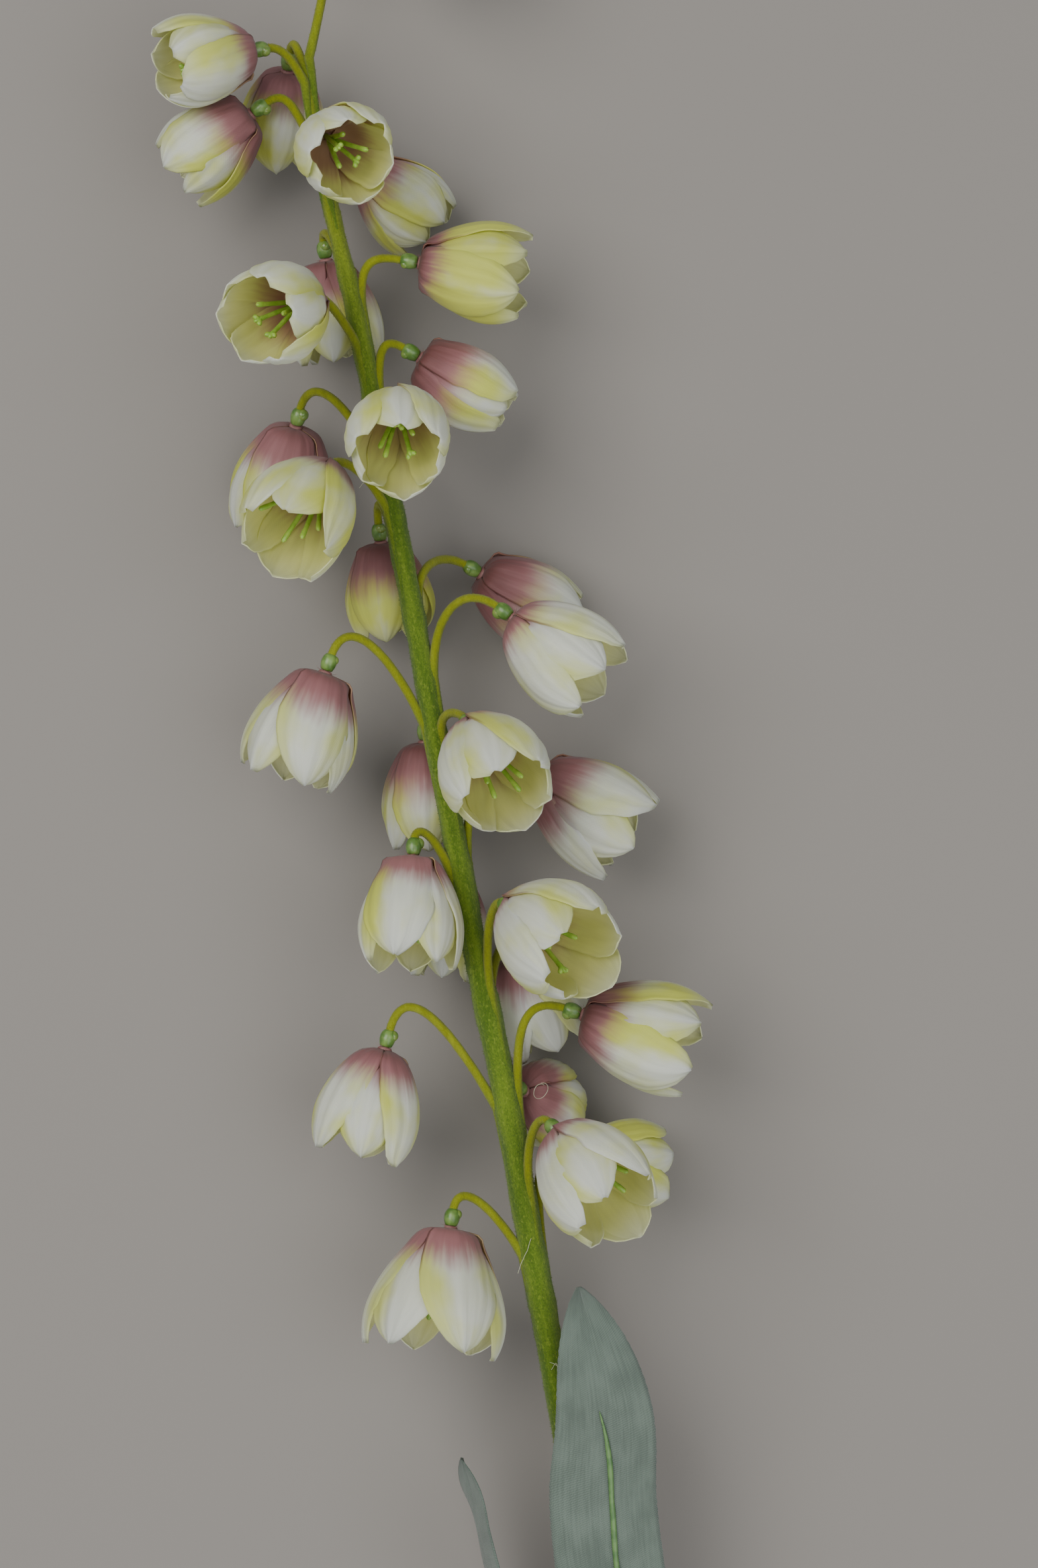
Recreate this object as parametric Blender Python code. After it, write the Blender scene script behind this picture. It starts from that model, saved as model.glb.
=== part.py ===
"""An artificial fritillary flower, lying on a surface.

A flocked green stem carries thirty nodding bells of fabric petals on arched stalks,
and two fabric leaves low down. The stem lies along +Y with its cut end at the -Y end
on the surface; the flowering part rests on the lowest bells. +X is to the right for
someone looking down on it, and +Z is up.

Places in the tables are millimetres: to the right of the stem's axis, along the stem
from its cut end, and up from the level of the flowering stem's axis.
"""
import math
from typing import NamedTuple

import bmesh
import bpy
from mathutils import Matrix, Vector

MM = 0.001

# Clearance between pieces that touch on the real flower
GAP = 0.3

# Main stem: side offset, distance from the cut end and radius of points along it
STEM_LINE = (
    (4.0, 0.0, 3.5),
    (2.2, 80.0, 3.5),
    (0.8, 170.0, 3.4),
    (0.0, 250.0, 3.35),
    (0.4, 336.0, 3.3),
    (1.1, 374.0, 3.25),
    (0.5, 413.0, 3.05),
    (0.8, 451.0, 2.85),
    (1.1, 490.0, 2.7),
    (1.1, 528.0, 2.5),
    (1.1, 567.0, 2.35),
    (0.0, 594.0, 1.9),
    (0.0, 616.0, 1.45),
    (1.0, 633.0, 1.2),
)
STEM_STEP = 24.0
STEM_SIDES = 8

# The stem lies flat at its foot and rises to the level that the bells hold it at
LIFT = 31.92
LIE_FLAT_TO = 70.0
RISE_DONE_AT = 250.0

# Stalk of a bloom; its seat is a part of the stem's radius
STALK_RADIUS = 1.0
STALK_SIDES = 5
STALK_STEPS = 5
STALK_SEAT = 0.7
STALK_SINK = 7.0

# Bead, pin through the bell's collar and hub: level along the bell's axis and radius
BEAD_REACH = 2.3
BEAD_PROFILE = (
    (-1.9, 1.2), (-1.2, 2.0), (0.3, 2.3), (1.6, 1.6),
    (BEAD_REACH, 0.75), (5.1, 0.75), (5.7, 1.5), (7.0, 1.5),
)

# Stamens; their spread is the angle to the bell's axis
STAMEN_RADIUS = 0.62
STAMEN_LENGTH = 16.5
STAMEN_SPREAD = 19.0

# Bell of petals, for a bloom of size 1
BELL_LENGTH = 27.0
SHOULDER_RADIUS = 5.0
BELLY_RADIUS = 12.6
MOUTH_RADIUS = 10.8
BELLY_AT = 0.66
PETAL_THICKNESS = 0.6

# Petals: how far the outer and inner ones lie off the bell's surface, their levels at the
# collar and the shoulder, and their half widths at parts of the bell's length
WHORL_OFFSET = 0.9
OUTER_ROOT = (0.0, 0.85)
INNER_ROOT = (1.15, 2.0)
OUTER_SHOULDER = 0.8
INNER_SHOULDER = 2.1
PETAL_ROWS = ((0.03, 4.1), (0.5, 8.8))
TIP_CORNER = (0.86, 6.2)

# Collar that the petals grow from
COLLAR_RADIUS = 3.0
COLLAR_HOLE = 1.35

# Leaves: their middle lines beyond the base, which lies against the stem
LEAF_HALF_WIDTH = 13.0
LEAF_THICKNESS = 0.7
LEAF_CUP = 2.4
LEAF_ROWS = 14
LEAF_BASE = 165.0
RIB_RADIUS = 1.1
RIB_TIP_RADIUS = 0.5
RIB_SIDES = 5
RIB_FOOT = 8.0
RIB_ENDS_BEFORE_TIP = 32.0
LEAF_FRONT_LINE = (
    (2.0, 190.0, 0.8), (3.4, 215.0, 6.2), (4.5, 258.0, 9.0),
    (6.0, 276.0, 9.4), (10.3, 292.0, 10.2), (11.6, 304.0, 11.2), (10.7, 325.5, 13.5),
)
LEAF_LEFT_LINE = (
    (-9.4, 190.0, -6.4), (-17.0, 215.0, -2.3), (-22.5, 240.0, 0.5),
    (-24.6, 263.0, 2.0), (-24.9, 279.0, 3.0), (-25.8, 291.5, 4.0),
)
LEAF_LEFT_TWIST = 9.0


class Bloom(NamedTuple):
    """One bloom: its bead's place, where its bell points and how its stalk runs.

    aim is the bell's direction in the plane of the surface, in degrees from +X to +Y;
    nod lifts it off that plane; turn rolls the first outer petal away from the top
    side; root is where the stalk leaves the stem, at the angle away from it; rise and
    drop are the lengths of the stalk's two straight starts.
    """
    side: float
    along: float
    up: float
    aim: float
    nod: float
    turn: float
    root: float
    away: float
    rise: float
    drop: float
    size: float = 1.0
    flare: float = 1.0


BLOOMS = (
    Bloom(-9.5, 633.2, 5.5, 186, 28, -35, 624, 20, 7, 6, size=0.87),
    Bloom(-3.5, 631.6, -8, -111, -32, 0, 627, 15, 7, 7, size=0.86),
    Bloom(-12.2, 620.2, 1, 205, -8, 10, 610, 20, 10, 8, size=0.88),
    Bloom(1.6, 610.1, 9, -61, 60, 35, 607, 10, 8, 3, size=0.9),
    Bloom(8.1, 605.5, -14, -52, -6, -20, 594, 20, 10, 6, size=0.87),
    Bloom(16.1, 577.2, 0, -21, 4, 25, 569, 8, 11, 9, size=0.97),
    Bloom(-7.7, 571.3, 12, 202, 58, 30, 559, 25, 9, 4, size=0.94),
    Bloom(-3.7, 585.5, -13, -93, -8, 60, 578, 15, 9, 7, size=0.93),
    Bloom(12.4, 555.5, 0, -42, -4, -45, 547, 8, 11, 8, size=0.92, flare=0.7),
    Bloom(-17.6, 546.4, -11.17, -116, -22.5, 0, 530, 16, 17, 13),
    Bloom(-11.5, 530.7, 12, -129, 44, -55, 519, 20, 11, 5, size=1.04),
    Bloom(7.6, 543.6, 14, -99, 55, -60, 541, 15, 8, 4, size=0.96),
    Bloom(-3.5, 515.1, -13, -94, -10, 10, 510, 15, 13, 10, size=0.87),
    Bloom(17.0, 502.2, -15, -40, -16, -40, 495, 10, 12, 8, size=0.93, flare=0.85),
    Bloom(22.6, 489.4, 9, -48, 8, 50, 477, 10, 17, 12),
    Bloom(-21.0, 485.5, 3, -120, 0, -15, 466, 14, 19, 14, size=1.04, flare=1.05),
    Bloom(-1.8, 465.1, -14, -99, -6, 0, 460, 10, 8, 5, size=0.95, flare=0.9),
    Bloom(9.1, 464.8, 12, -72, 46, 55, 462, 5, 9, 4, size=1.03),
    Bloom(21.8, 451.7, -8, -46, -4, -45, 433, 10, 20, 9, size=1.05),
    Bloom(-9.2, 438.1, 6, -104, 14, 15, 428, 10, 13, 6),
    Bloom(-1.0, 431.0, -13, -107, -4, 60, 425, 10, 9, 5, size=0.92, flare=0.75),
    Bloom(9.9, 420.2, 12, -42, 46, 45, 399, 5, 17, 5, size=1.08),
    Bloom(9.8, 409.8, -14.8, -79, -8, 60, 397, 8, 10, 4, size=0.93),
    Bloom(20.7, 392.1, 4, -29, 3, 28, 371, 8, 19, 13, size=1.06),
    Bloom(-24.2, 393.8, 2, -115, 3, 60, 372, 19, 21, 17),
    Bloom(4.6, 375.6, -2.8, -50, -62, 0, 369, 20, 6, 3, size=0.88),
    Bloom(11.0, 366.0, 12, -61, 38, 55, 350, 5, 14, 7, size=1.05),
    Bloom(12.4, 356.1, -9.6, -19, -24, 30, 327, 4, 24, 9, size=0.84),
    Bloom(-17.0, 348.7, 4, -109, 10, -22, 336, 20, 14, 10, size=1.1, flare=1.42),
    Bloom(29.4, 673.9, 0, -61, 5, 0, 630, 25, 26, 16),
)


def clear_scene() -> None:
    """Remove every object of the scene that the script starts in."""
    for thing in list(bpy.data.objects):
        bpy.data.objects.remove(thing, do_unlink=True)


def make_material(name: str, colour: tuple, roughness: float):
    """A Principled material of one colour."""
    material = bpy.data.materials.new(name)
    material.use_nodes = True
    shader = material.node_tree.nodes["Principled BSDF"]
    shader.inputs["Base Color"].default_value = (*colour, 1.0)
    shader.inputs["Roughness"].default_value = roughness
    shader.inputs["Metallic"].default_value = 0.0
    return material


def make_object(name: str, mesh_data, material=None):
    """A new object of the scene, with faces turned outwards."""
    if isinstance(mesh_data, bmesh.types.BMesh):
        bmesh.ops.recalc_face_normals(mesh_data, faces=mesh_data.faces)
        mesh = bpy.data.meshes.new(name)
        mesh_data.to_mesh(mesh)
        mesh_data.free()
    else:
        mesh = mesh_data
    if material is not None:
        mesh.materials.append(material)
    thing = bpy.data.objects.new(name, mesh)
    bpy.context.scene.collection.objects.link(thing)
    return thing


def smoothstep(value: float) -> float:
    """A step from 0 to 1 with level ends."""
    value = min(1.0, max(0.0, value))
    return value * value * (3.0 - 2.0 * value)


def spline(points: tuple, along: float, column: int) -> float:
    """Read one column of a table of points at a distance along the stem.

    The curve is a Hermite spline with the slope of each point's neighbours.
    """
    places = [point[1] for point in points]
    if along <= places[0]:
        return points[0][column]
    if along >= places[-1]:
        return points[-1][column]
    index = max(i for i, place in enumerate(places) if place <= along)

    def slope(i: int) -> float:
        """The rise per millimetre between a point's two neighbours."""
        low, high = max(0, i - 1), min(len(points) - 1, i + 1)
        return (points[high][column] - points[low][column]) / (places[high] - places[low])

    span = places[index + 1] - places[index]
    t = (along - places[index]) / span
    return ((2 * t**3 - 3 * t**2 + 1) * points[index][column]
            + (t**3 - 2 * t**2 + t) * span * slope(index)
            + (-2 * t**3 + 3 * t**2) * points[index + 1][column]
            + (t**3 - t**2) * span * slope(index + 1))


def stem_radius(along: float) -> float:
    """The main stem's radius."""
    return spline(STEM_LINE, along, 2)


def stem_centre(along: float) -> Vector:
    """A point of the main stem's axis: it lies flat at the foot and rises to the blooms."""
    foot_level = STEM_LINE[0][2] * math.cos(math.pi / STEM_SIDES)
    sink = 1.0 - smoothstep((along - LIE_FLAT_TO) / (RISE_DONE_AT - LIE_FLAT_TO))
    return Vector((spline(STEM_LINE, along, 0), along, -(LIFT - foot_level) * sink))


def open_tube(points: list, radii: list, sides: int, start_angle: float = 0.0) -> tuple:
    """The wall of a tube along points: the bmesh and its rings of vertices."""
    shape = bmesh.new()
    rings = []
    across = Vector((1.0, 0.0, 0.0))
    for index, point in enumerate(points):
        before = points[max(0, index - 1)]
        after = points[min(len(points) - 1, index + 1)]
        forward = (after - before).normalized()
        if abs(forward.dot(across)) > 0.98:
            across = Vector((0.0, 0.0, 1.0))
        across = (across - forward * forward.dot(across)).normalized()
        other = forward.cross(across)
        ring = []
        for k in range(sides):
            angle = start_angle + 2.0 * math.pi * k / sides
            offset = across * math.cos(angle) + other * math.sin(angle)
            ring.append(shape.verts.new((point + offset * radii[index]) * MM))
        rings.append(ring)
    for low, high in zip(rings, rings[1:]):
        for k in range(sides):
            following = (k + 1) % sides
            shape.faces.new((low[k], low[following], high[following], high[k]))
    return shape, rings


def tube(points: list, radii: list, sides: int, start_angle: float = 0.0):
    """A closed tube along points, as a bmesh with flat ends."""
    shape, rings = open_tube(points, radii, sides, start_angle)
    shape.faces.new(rings[0])
    shape.faces.new(rings[-1])
    bmesh.ops.triangulate(shape, faces=shape.faces)
    return shape


def add_blade(shape, rows: list, thickness: float, root=None) -> None:
    """Add a sheet of the given thickness round a grid of points to a bmesh.

    Args:
        shape: the bmesh.
        rows: the grid, row by row from the root to the tip, three points in a row.
        thickness: the sheet's thickness.
        root: two rows of vertices that the sheet grows from; none closes the root.
    """
    row_count, columns = len(rows), len(rows[0])

    def normal(r: int, c: int) -> Vector:
        """The sheet's normal at a point of the grid."""
        down = rows[min(r + 1, row_count - 1)][c] - rows[max(r - 1, 0)][c]
        over = rows[r][min(c + 1, columns - 1)] - rows[r][max(c - 1, 0)]
        return over.cross(down).normalized()

    sheets = []
    for index, sign in enumerate((-0.5, 0.5)):
        sheet = []
        for r in range(row_count):
            if r == 0 and root is not None:
                sheet.append(root[index])
                continue
            sheet.append([shape.verts.new((rows[r][c] + normal(r, c) * thickness * sign) * MM)
                          for c in range(columns)])
        sheets.append(sheet)
    for sheet in sheets:
        for r in range(row_count - 1):
            for c in range(columns - 1):
                a, b = sheet[r][c], sheet[r][c + 1]
                d, e = sheet[r + 1][c], sheet[r + 1][c + 1]
                if c < (columns - 1) / 2:
                    shape.faces.new((a, b, d))
                    shape.faces.new((b, e, d))
                else:
                    shape.faces.new((a, b, e))
                    shape.faces.new((a, e, d))
    rim = [(r, 0) for r in range(row_count)]
    rim += [(row_count - 1, c) for c in range(1, columns)]
    rim += [(r, columns - 1) for r in range(row_count - 2, -1, -1)]
    if root is None:
        rim += [(0, c) for c in range(columns - 2, -1, -1)]
    for (r0, c0), (r1, c1) in zip(rim, rim[1:]):
        first, second = sheets[0][r0][c0], sheets[0][r1][c1]
        third, fourth = sheets[1][r1][c1], sheets[1][r0][c0]
        shape.faces.new((first, second, third))
        shape.faces.new((first, third, fourth))


def blade(rows: list, thickness: float):
    """A closed sheet of the given thickness round a grid of points, as a bmesh."""
    shape = bmesh.new()
    add_blade(shape, rows, thickness)
    return shape


def join_by_union(body, pieces: list) -> None:
    """Fuse pieces into a body with one Boolean union, and remove the pieces."""
    group = bpy.data.collections.new(body.name + "_pieces")
    bpy.context.scene.collection.children.link(group)
    for piece in pieces:
        bpy.context.scene.collection.objects.unlink(piece)
        group.objects.link(piece)
    union = body.modifiers.new("join", "BOOLEAN")
    union.operation = "UNION"
    union.operand_type = "COLLECTION"
    union.collection = group
    union.solver = "MANIFOLD"
    evaluated = body.evaluated_get(bpy.context.evaluated_depsgraph_get())
    joined = bpy.data.meshes.new_from_object(evaluated)
    body.modifiers.clear()
    body.data = joined
    body.data.materials.clear()
    for piece in pieces:
        bpy.data.objects.remove(piece, do_unlink=True)
    bpy.data.collections.remove(group)


def shade_round(thing, angle: float) -> None:
    """Shade an object smooth, with edges over the angle left sharp."""
    thing.data.shade_smooth()
    thing.data.set_sharp_from_angle(angle=math.radians(angle))


def bloom_axis(bloom: Bloom) -> Vector:
    """The direction in which a bell points."""
    aim, nod = math.radians(bloom.aim), math.radians(bloom.nod)
    return Vector((math.cos(nod) * math.cos(aim), math.cos(nod) * math.sin(aim), math.sin(nod)))


def bloom_frame(bloom: Bloom) -> Matrix:
    """A bell's own frame: its hole at the origin, +Z along the bell, +X to its top side."""
    axis = bloom_axis(bloom)
    top = Vector((0.0, 0.0, 1.0))
    top = (top - axis * axis.dot(top)).normalized()
    other = axis.cross(top)
    hole = Vector((bloom.side, bloom.along, bloom.up)) + axis * (BEAD_REACH + GAP)
    turn = Matrix((top, other, axis)).transposed().to_4x4()
    return Matrix.Translation(hole * MM) @ turn


def bell_radius(t: float, flare: float) -> float:
    """The bell's radius at a part of its length, for size 1."""
    if t < BELLY_AT:
        swell = math.sin(0.5 * math.pi * t / BELLY_AT)
        radius = SHOULDER_RADIUS + (BELLY_RADIUS - SHOULDER_RADIUS) * swell
    else:
        radius = BELLY_RADIUS - (BELLY_RADIUS - MOUTH_RADIUS) * ((t - BELLY_AT) / (1.0 - BELLY_AT))**1.8
    return radius * (1.0 + (flare - 1.0) * t**1.2)


def petal_rows(bloom: Bloom, centre: float, outer: bool) -> list:
    """The grid of one petal beyond its root, in the bell's own frame, down to its tip."""
    offset = WHORL_OFFSET if outer else -WHORL_OFFSET
    length = BELL_LENGTH * bloom.size

    def point(t: float, half_width: float, level: float) -> Vector:
        """A point of the bell at a part of its length, to one side of the petal's middle."""
        radius = bell_radius(t, bloom.flare) * bloom.size + offset
        angle = centre + half_width * bloom.size / radius
        return Vector((radius * math.cos(angle), radius * math.sin(angle), level))

    rows = []
    for t, half_width in PETAL_ROWS:
        level = max(t * length, OUTER_SHOULDER if outer else INNER_SHOULDER)
        rows.append([point(t, side * half_width, level) for side in (-1, 0, 1)])
    corner_t, corner_width = TIP_CORNER
    rows.append([point(corner_t, -corner_width, corner_t * length), point(1.0, 0.0, length),
                 point(corner_t, corner_width, corner_t * length)])
    return rows


def ring_point(shape, radius: float, step: float, level: float):
    """A vertex of the collar, at a number of sixths of a turn."""
    angle = math.pi * step / 3.0
    return shape.verts.new(Vector((radius * math.cos(angle), radius * math.sin(angle), level)) * MM)


def make_corolla(number: int, bloom: Bloom, material):
    """A bell: three outer and three inner petals that grow from the sides of one collar.

    The outer petals leave the collar low, the inner ones high, so that their edges
    pass each other without touching.
    """
    shape = bmesh.new()
    low, high = OUTER_ROOT[0], INNER_ROOT[1]
    hole_low = [ring_point(shape, COLLAR_HOLE, k + 0.5, low) for k in range(6)]
    hole_high = [ring_point(shape, COLLAR_HOLE, k + 0.5, high) for k in range(6)]
    levels = (*OUTER_ROOT, *INNER_ROOT)
    corners = [[ring_point(shape, COLLAR_RADIUS, k + 0.5, level) for level in levels] for k in range(6)]
    flat = COLLAR_RADIUS * math.cos(math.pi / 6.0)
    for k in range(6):
        left, right = corners[k - 1], corners[k]
        outer = k % 2 == 0
        shape.faces.new((hole_low[k - 1], hole_low[k], hole_high[k], hole_high[k - 1]))
        if outer:
            near, far = ring_point(shape, flat, k, OUTER_ROOT[0]), ring_point(shape, flat, k, OUTER_ROOT[1])
            root_low, root_high = (left[0], near, right[0]), (left[1], far, right[1])
            shape.faces.new((hole_low[k - 1], left[0], near, right[0], hole_low[k]))
            shape.faces.new((hole_high[k - 1], left[3], right[3], hole_high[k]))
            shape.faces.new((left[1], far, right[1], right[2], right[3], left[3], left[2]))
        else:
            near, far = ring_point(shape, flat, k, INNER_ROOT[0]), ring_point(shape, flat, k, INNER_ROOT[1])
            root_low, root_high = (left[2], near, right[2]), (left[3], far, right[3])
            shape.faces.new((hole_low[k - 1], left[0], right[0], hole_low[k]))
            shape.faces.new((hole_high[k - 1], left[3], far, right[3], hole_high[k]))
            shape.faces.new((left[2], near, right[2], right[1], right[0], left[0], left[1]))
        middle = [(a.co + b.co) / (2 * MM) for a, b in zip(root_low, root_high)]
        rows = [middle] + petal_rows(bloom, math.pi * k / 3.0, outer)
        add_blade(shape, rows, PETAL_THICKNESS, (root_high, root_low))
    bmesh.ops.triangulate(shape, faces=[face for face in shape.faces if len(face.verts) > 3])
    body = make_object(f"corolla_{number:02d}", shape, material)
    shade_round(body, 35.0)
    body.matrix_world = bloom_frame(bloom) @ Matrix.Rotation(math.radians(bloom.turn), 4, "Z")
    return body


def stalk_line(bloom: Bloom) -> list:
    """The stalk's arch from the stem to the bead, as points of a Bezier curve."""
    bead = Vector((bloom.side, bloom.along, bloom.up))
    foot = stem_centre(bloom.root)
    upward = Vector((0.0, 1.0, 0.0))
    outward = bead - foot
    outward = (outward - upward * outward.dot(upward)).normalized()
    away = math.radians(bloom.away)
    start = foot + outward * stem_radius(bloom.root) * STALK_SEAT
    first = start + (upward * math.cos(away) + outward * math.sin(away)) * bloom.rise
    second = bead - bloom_axis(bloom) * bloom.drop
    points = []
    for step in range(STALK_STEPS + 1):
        t = step / STALK_STEPS
        points.append(start * (1 - t)**3 + first * 3 * (1 - t)**2 * t
                      + second * 3 * (1 - t) * t**2 + bead * t**3)
    return points


def make_heart(bloom: Bloom):
    """A bloom's stalk, bead, pin and stamens as one closed piece.

    The stalk's foot is on the stem's axis, a little below where the stalk leaves the stem.
    """
    bead = Vector((bloom.side, bloom.along, bloom.up))
    axis = bloom_axis(bloom)
    line = stalk_line(bloom)
    points = [stem_centre(bloom.root - STALK_SINK)] + line[:-1]
    radii = [STALK_RADIUS] * len(points)
    for level, radius in BEAD_PROFILE:
        points.append(bead + axis * level)
        radii.append(radius)
    shape, rings = open_tube(points, radii, STALK_SIDES)
    shape.faces.new(rings[0])

    top = points[-1]
    middle = shape.verts.new(top * MM)
    spread = math.radians(STAMEN_SPREAD)
    last = rings[-1]
    for k in range(STALK_SIDES):
        root = (middle, last[k], last[(k + 1) % STALK_SIDES])
        outward = ((root[1].co + root[2].co) / (2 * MM) - top).normalized()
        sideways = axis.cross(outward)
        forward = axis * math.cos(spread) + outward * math.sin(spread)
        end = top + outward + forward * STAMEN_LENGTH * bloom.size
        tip = [shape.verts.new((end - outward * STAMEN_RADIUS) * MM),
               shape.verts.new((end + (outward * 0.5 - sideways * 0.87) * STAMEN_RADIUS) * MM),
               shape.verts.new((end + (outward * 0.5 + sideways * 0.87) * STAMEN_RADIUS) * MM)]
        for a in range(3):
            b = (a + 1) % 3
            shape.faces.new((root[a], root[b], tip[b], tip[a]))
        shape.faces.new(tip)
    bmesh.ops.triangulate(shape, faces=[face for face in shape.faces if len(face.verts) > 3])
    return make_object("heart", shape)


def make_stem(material):
    """The whole green body: main stem, stalks, beads and stamens fused in one."""
    end = STEM_LINE[-1][1]
    steps = math.ceil(end / STEM_STEP)
    places = [end * step / steps for step in range(steps + 1)]
    shape = tube([stem_centre(place) for place in places], [stem_radius(place) for place in places],
                 STEM_SIDES, math.pi / STEM_SIDES)
    stem = make_object("stem", shape)
    join_by_union(stem, [make_heart(bloom) for bloom in BLOOMS])
    stem.data.materials.append(material)
    shade_round(stem, 50.0)
    return stem


def leaf_half_width(part: float) -> float:
    """A leaf's half width at a part of its length from the base."""
    if part < 0.5:
        return LEAF_HALF_WIDTH * (0.2 + 0.8 * math.sin(math.pi * part)**0.9)
    return LEAF_HALF_WIDTH * (1.0 - (2.0 * part - 1.0)**3.5)**0.8


def leaf_centre(line: tuple, part: float) -> Vector:
    """A point of a leaf's middle line at a part of its length along the stem."""
    along = line[0][1] + (line[-1][1] - line[0][1]) * part
    return Vector((spline(line, along, 0), along, spline(line, along, 2)))


def leaf_slope(line: tuple, part: float) -> Vector:
    """The direction of a leaf's middle line."""
    step = 0.01
    return (leaf_centre(line, min(1.0, part + step)) - leaf_centre(line, max(0.0, part - step))).normalized()


def make_leaf(name: str, table: tuple, width_way: Vector, face_way: Vector, materials: tuple) -> list:
    """A leaf's blade, which starts against the stem's side, and the rib on its outer face.

    Args:
        name: the blade's name, and the start of the rib's.
        table: the middle line's points beyond its base.
        width_way: the direction of the leaf's width.
        face_way: the direction that the rib's face looks in.
        materials: the blade's and the rib's.
    """
    flat = math.cos(math.pi / STEM_SIDES)
    base = stem_centre(LEAF_BASE)
    base += face_way * (stem_radius(LEAF_BASE) * flat + GAP + LEAF_THICKNESS / 2)
    line = ((base.x, base.y, base.z), *table)
    rows = []
    for step in range(LEAF_ROWS + 1):
        part = 0.995 * step / LEAF_ROWS
        centre = leaf_centre(line, part)
        forward = leaf_slope(line, part)
        over = (width_way - forward * width_way.dot(forward)).normalized()
        out = over.cross(forward)
        if out.dot(face_way) < 0:
            out = -out
        half = leaf_half_width(part)
        cup = LEAF_CUP * (half / LEAF_HALF_WIDTH)**2
        rows.append([centre - over * half - out * cup, centre, centre + over * half - out * cup])
    leaf = make_object(name, blade(rows, LEAF_THICKNESS), materials[0])
    shade_round(leaf, 40.0)

    length = line[-1][1] - line[0][1]
    last = 1.0 - RIB_ENDS_BEFORE_TIP / length
    points, radii = [], []
    for step in range(10):
        part = last * step / 9
        forward = leaf_slope(line, part)
        over = (width_way - forward * width_way.dot(forward)).normalized()
        out = over.cross(forward)
        if out.dot(face_way) < 0:
            out = -out
        radius = RIB_RADIUS + (RIB_TIP_RADIUS - RIB_RADIUS) * part / last
        points.append(leaf_centre(line, part) + out * (LEAF_THICKNESS / 2 + GAP + radius + 0.1))
        radii.append(radius)
    foot = LEAF_BASE - RIB_FOOT
    points.insert(0, stem_centre(foot) + face_way * (stem_radius(foot) * flat + GAP + RIB_RADIUS))
    radii.insert(0, RIB_RADIUS)
    rib = make_object(name + "_rib", tube(points, radii, RIB_SIDES), materials[1])
    shade_round(rib, 50.0)
    return [leaf, rib]


def stand_on_surface(things: list) -> None:
    """Put the origin below the middle of the whole flower, at its lowest point."""
    bpy.context.view_layer.update()
    corners = [thing.matrix_world @ vertex.co for thing in things for vertex in thing.data.vertices]
    low = Vector([min(corner[i] for corner in corners) for i in range(3)])
    high = Vector([max(corner[i] for corner in corners) for i in range(3)])
    holder = bpy.data.objects.new("flower", None)
    bpy.context.scene.collection.objects.link(holder)
    for thing in things:
        thing.parent = holder
    holder.location = (-(low.x + high.x) / 2, -(low.y + high.y) / 2, -low.z)


def main() -> None:
    """Build the flower."""
    clear_scene()
    stem_green = make_material("stem_green", (0.13, 0.19, 0.03), 0.9)
    leaf_green = make_material("leaf_green", (0.20, 0.27, 0.22), 0.8)
    rib_green = make_material("rib_green", (0.23, 0.38, 0.13), 0.45)
    things = [make_stem(stem_green)]
    for number, bloom in enumerate(BLOOMS, start=1):
        petal_cream = make_material(f"petal_cream_{number:02d}", (0.72, 0.70, 0.52), 0.7)
        things.append(make_corolla(number, bloom, petal_cream))
    up = Vector((0.0, 0.0, 1.0))
    right = Vector((1.0, 0.0, 0.0))
    twist = math.radians(LEAF_LEFT_TWIST)
    things += make_leaf("leaf_front", LEAF_FRONT_LINE, right, up, (leaf_green, rib_green))
    things += make_leaf("leaf_left", LEAF_LEFT_LINE, right * math.sin(twist) + up * math.cos(twist),
                        -right, (leaf_green, rib_green))
    stand_on_surface(things)


main()
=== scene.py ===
"""Looks of an artificial fritillary flower that lies on a pale surface.

A flocked green stem with thirty nodding bells of pressed satin on arched stalks, jade
beads and stamens, and two long fabric leaves with wired ribs. Sizes are millimetres in
the stem's own frame: to the right of the stem's axis, along the stem from its cut end,
and up from the level of the flowering stem's axis.
"""

import logging
import math
import random
from dataclasses import dataclass, field
from enum import Enum

import bpy
import numpy as np
from mathutils import Matrix, Vector


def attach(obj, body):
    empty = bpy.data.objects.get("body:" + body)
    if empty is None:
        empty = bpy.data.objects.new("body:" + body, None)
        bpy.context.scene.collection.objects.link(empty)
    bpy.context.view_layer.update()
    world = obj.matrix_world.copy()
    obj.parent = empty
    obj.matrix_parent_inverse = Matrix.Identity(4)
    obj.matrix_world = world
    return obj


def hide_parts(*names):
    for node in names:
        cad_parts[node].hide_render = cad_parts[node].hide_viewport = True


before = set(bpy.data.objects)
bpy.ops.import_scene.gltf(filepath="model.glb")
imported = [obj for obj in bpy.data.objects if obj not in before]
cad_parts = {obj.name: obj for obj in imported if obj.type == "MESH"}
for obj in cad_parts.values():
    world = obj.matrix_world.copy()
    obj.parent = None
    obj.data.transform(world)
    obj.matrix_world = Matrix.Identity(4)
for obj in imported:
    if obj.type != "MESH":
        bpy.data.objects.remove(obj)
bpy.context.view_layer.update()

MM = 0.001
log = logging.getLogger("fritillary")

Row = tuple[float, ...]
Table = tuple[Row, ...]
Colour = tuple[float, float, float]
Piece = bpy.types.Object
Material = bpy.types.Material
Socket = bpy.types.NodeSocket

UP = Vector((0.0, 0.0, 1.0))
TURN = 2.0 * math.pi
# Millimetres along a bell's axis from the bead's centre to the hole at its neck.
BELL_HOLE = 2.6


class Layer(Enum):
    """Which of a bell's two layers a petal belongs to."""

    OUTER = 1
    INNER = -1


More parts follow.
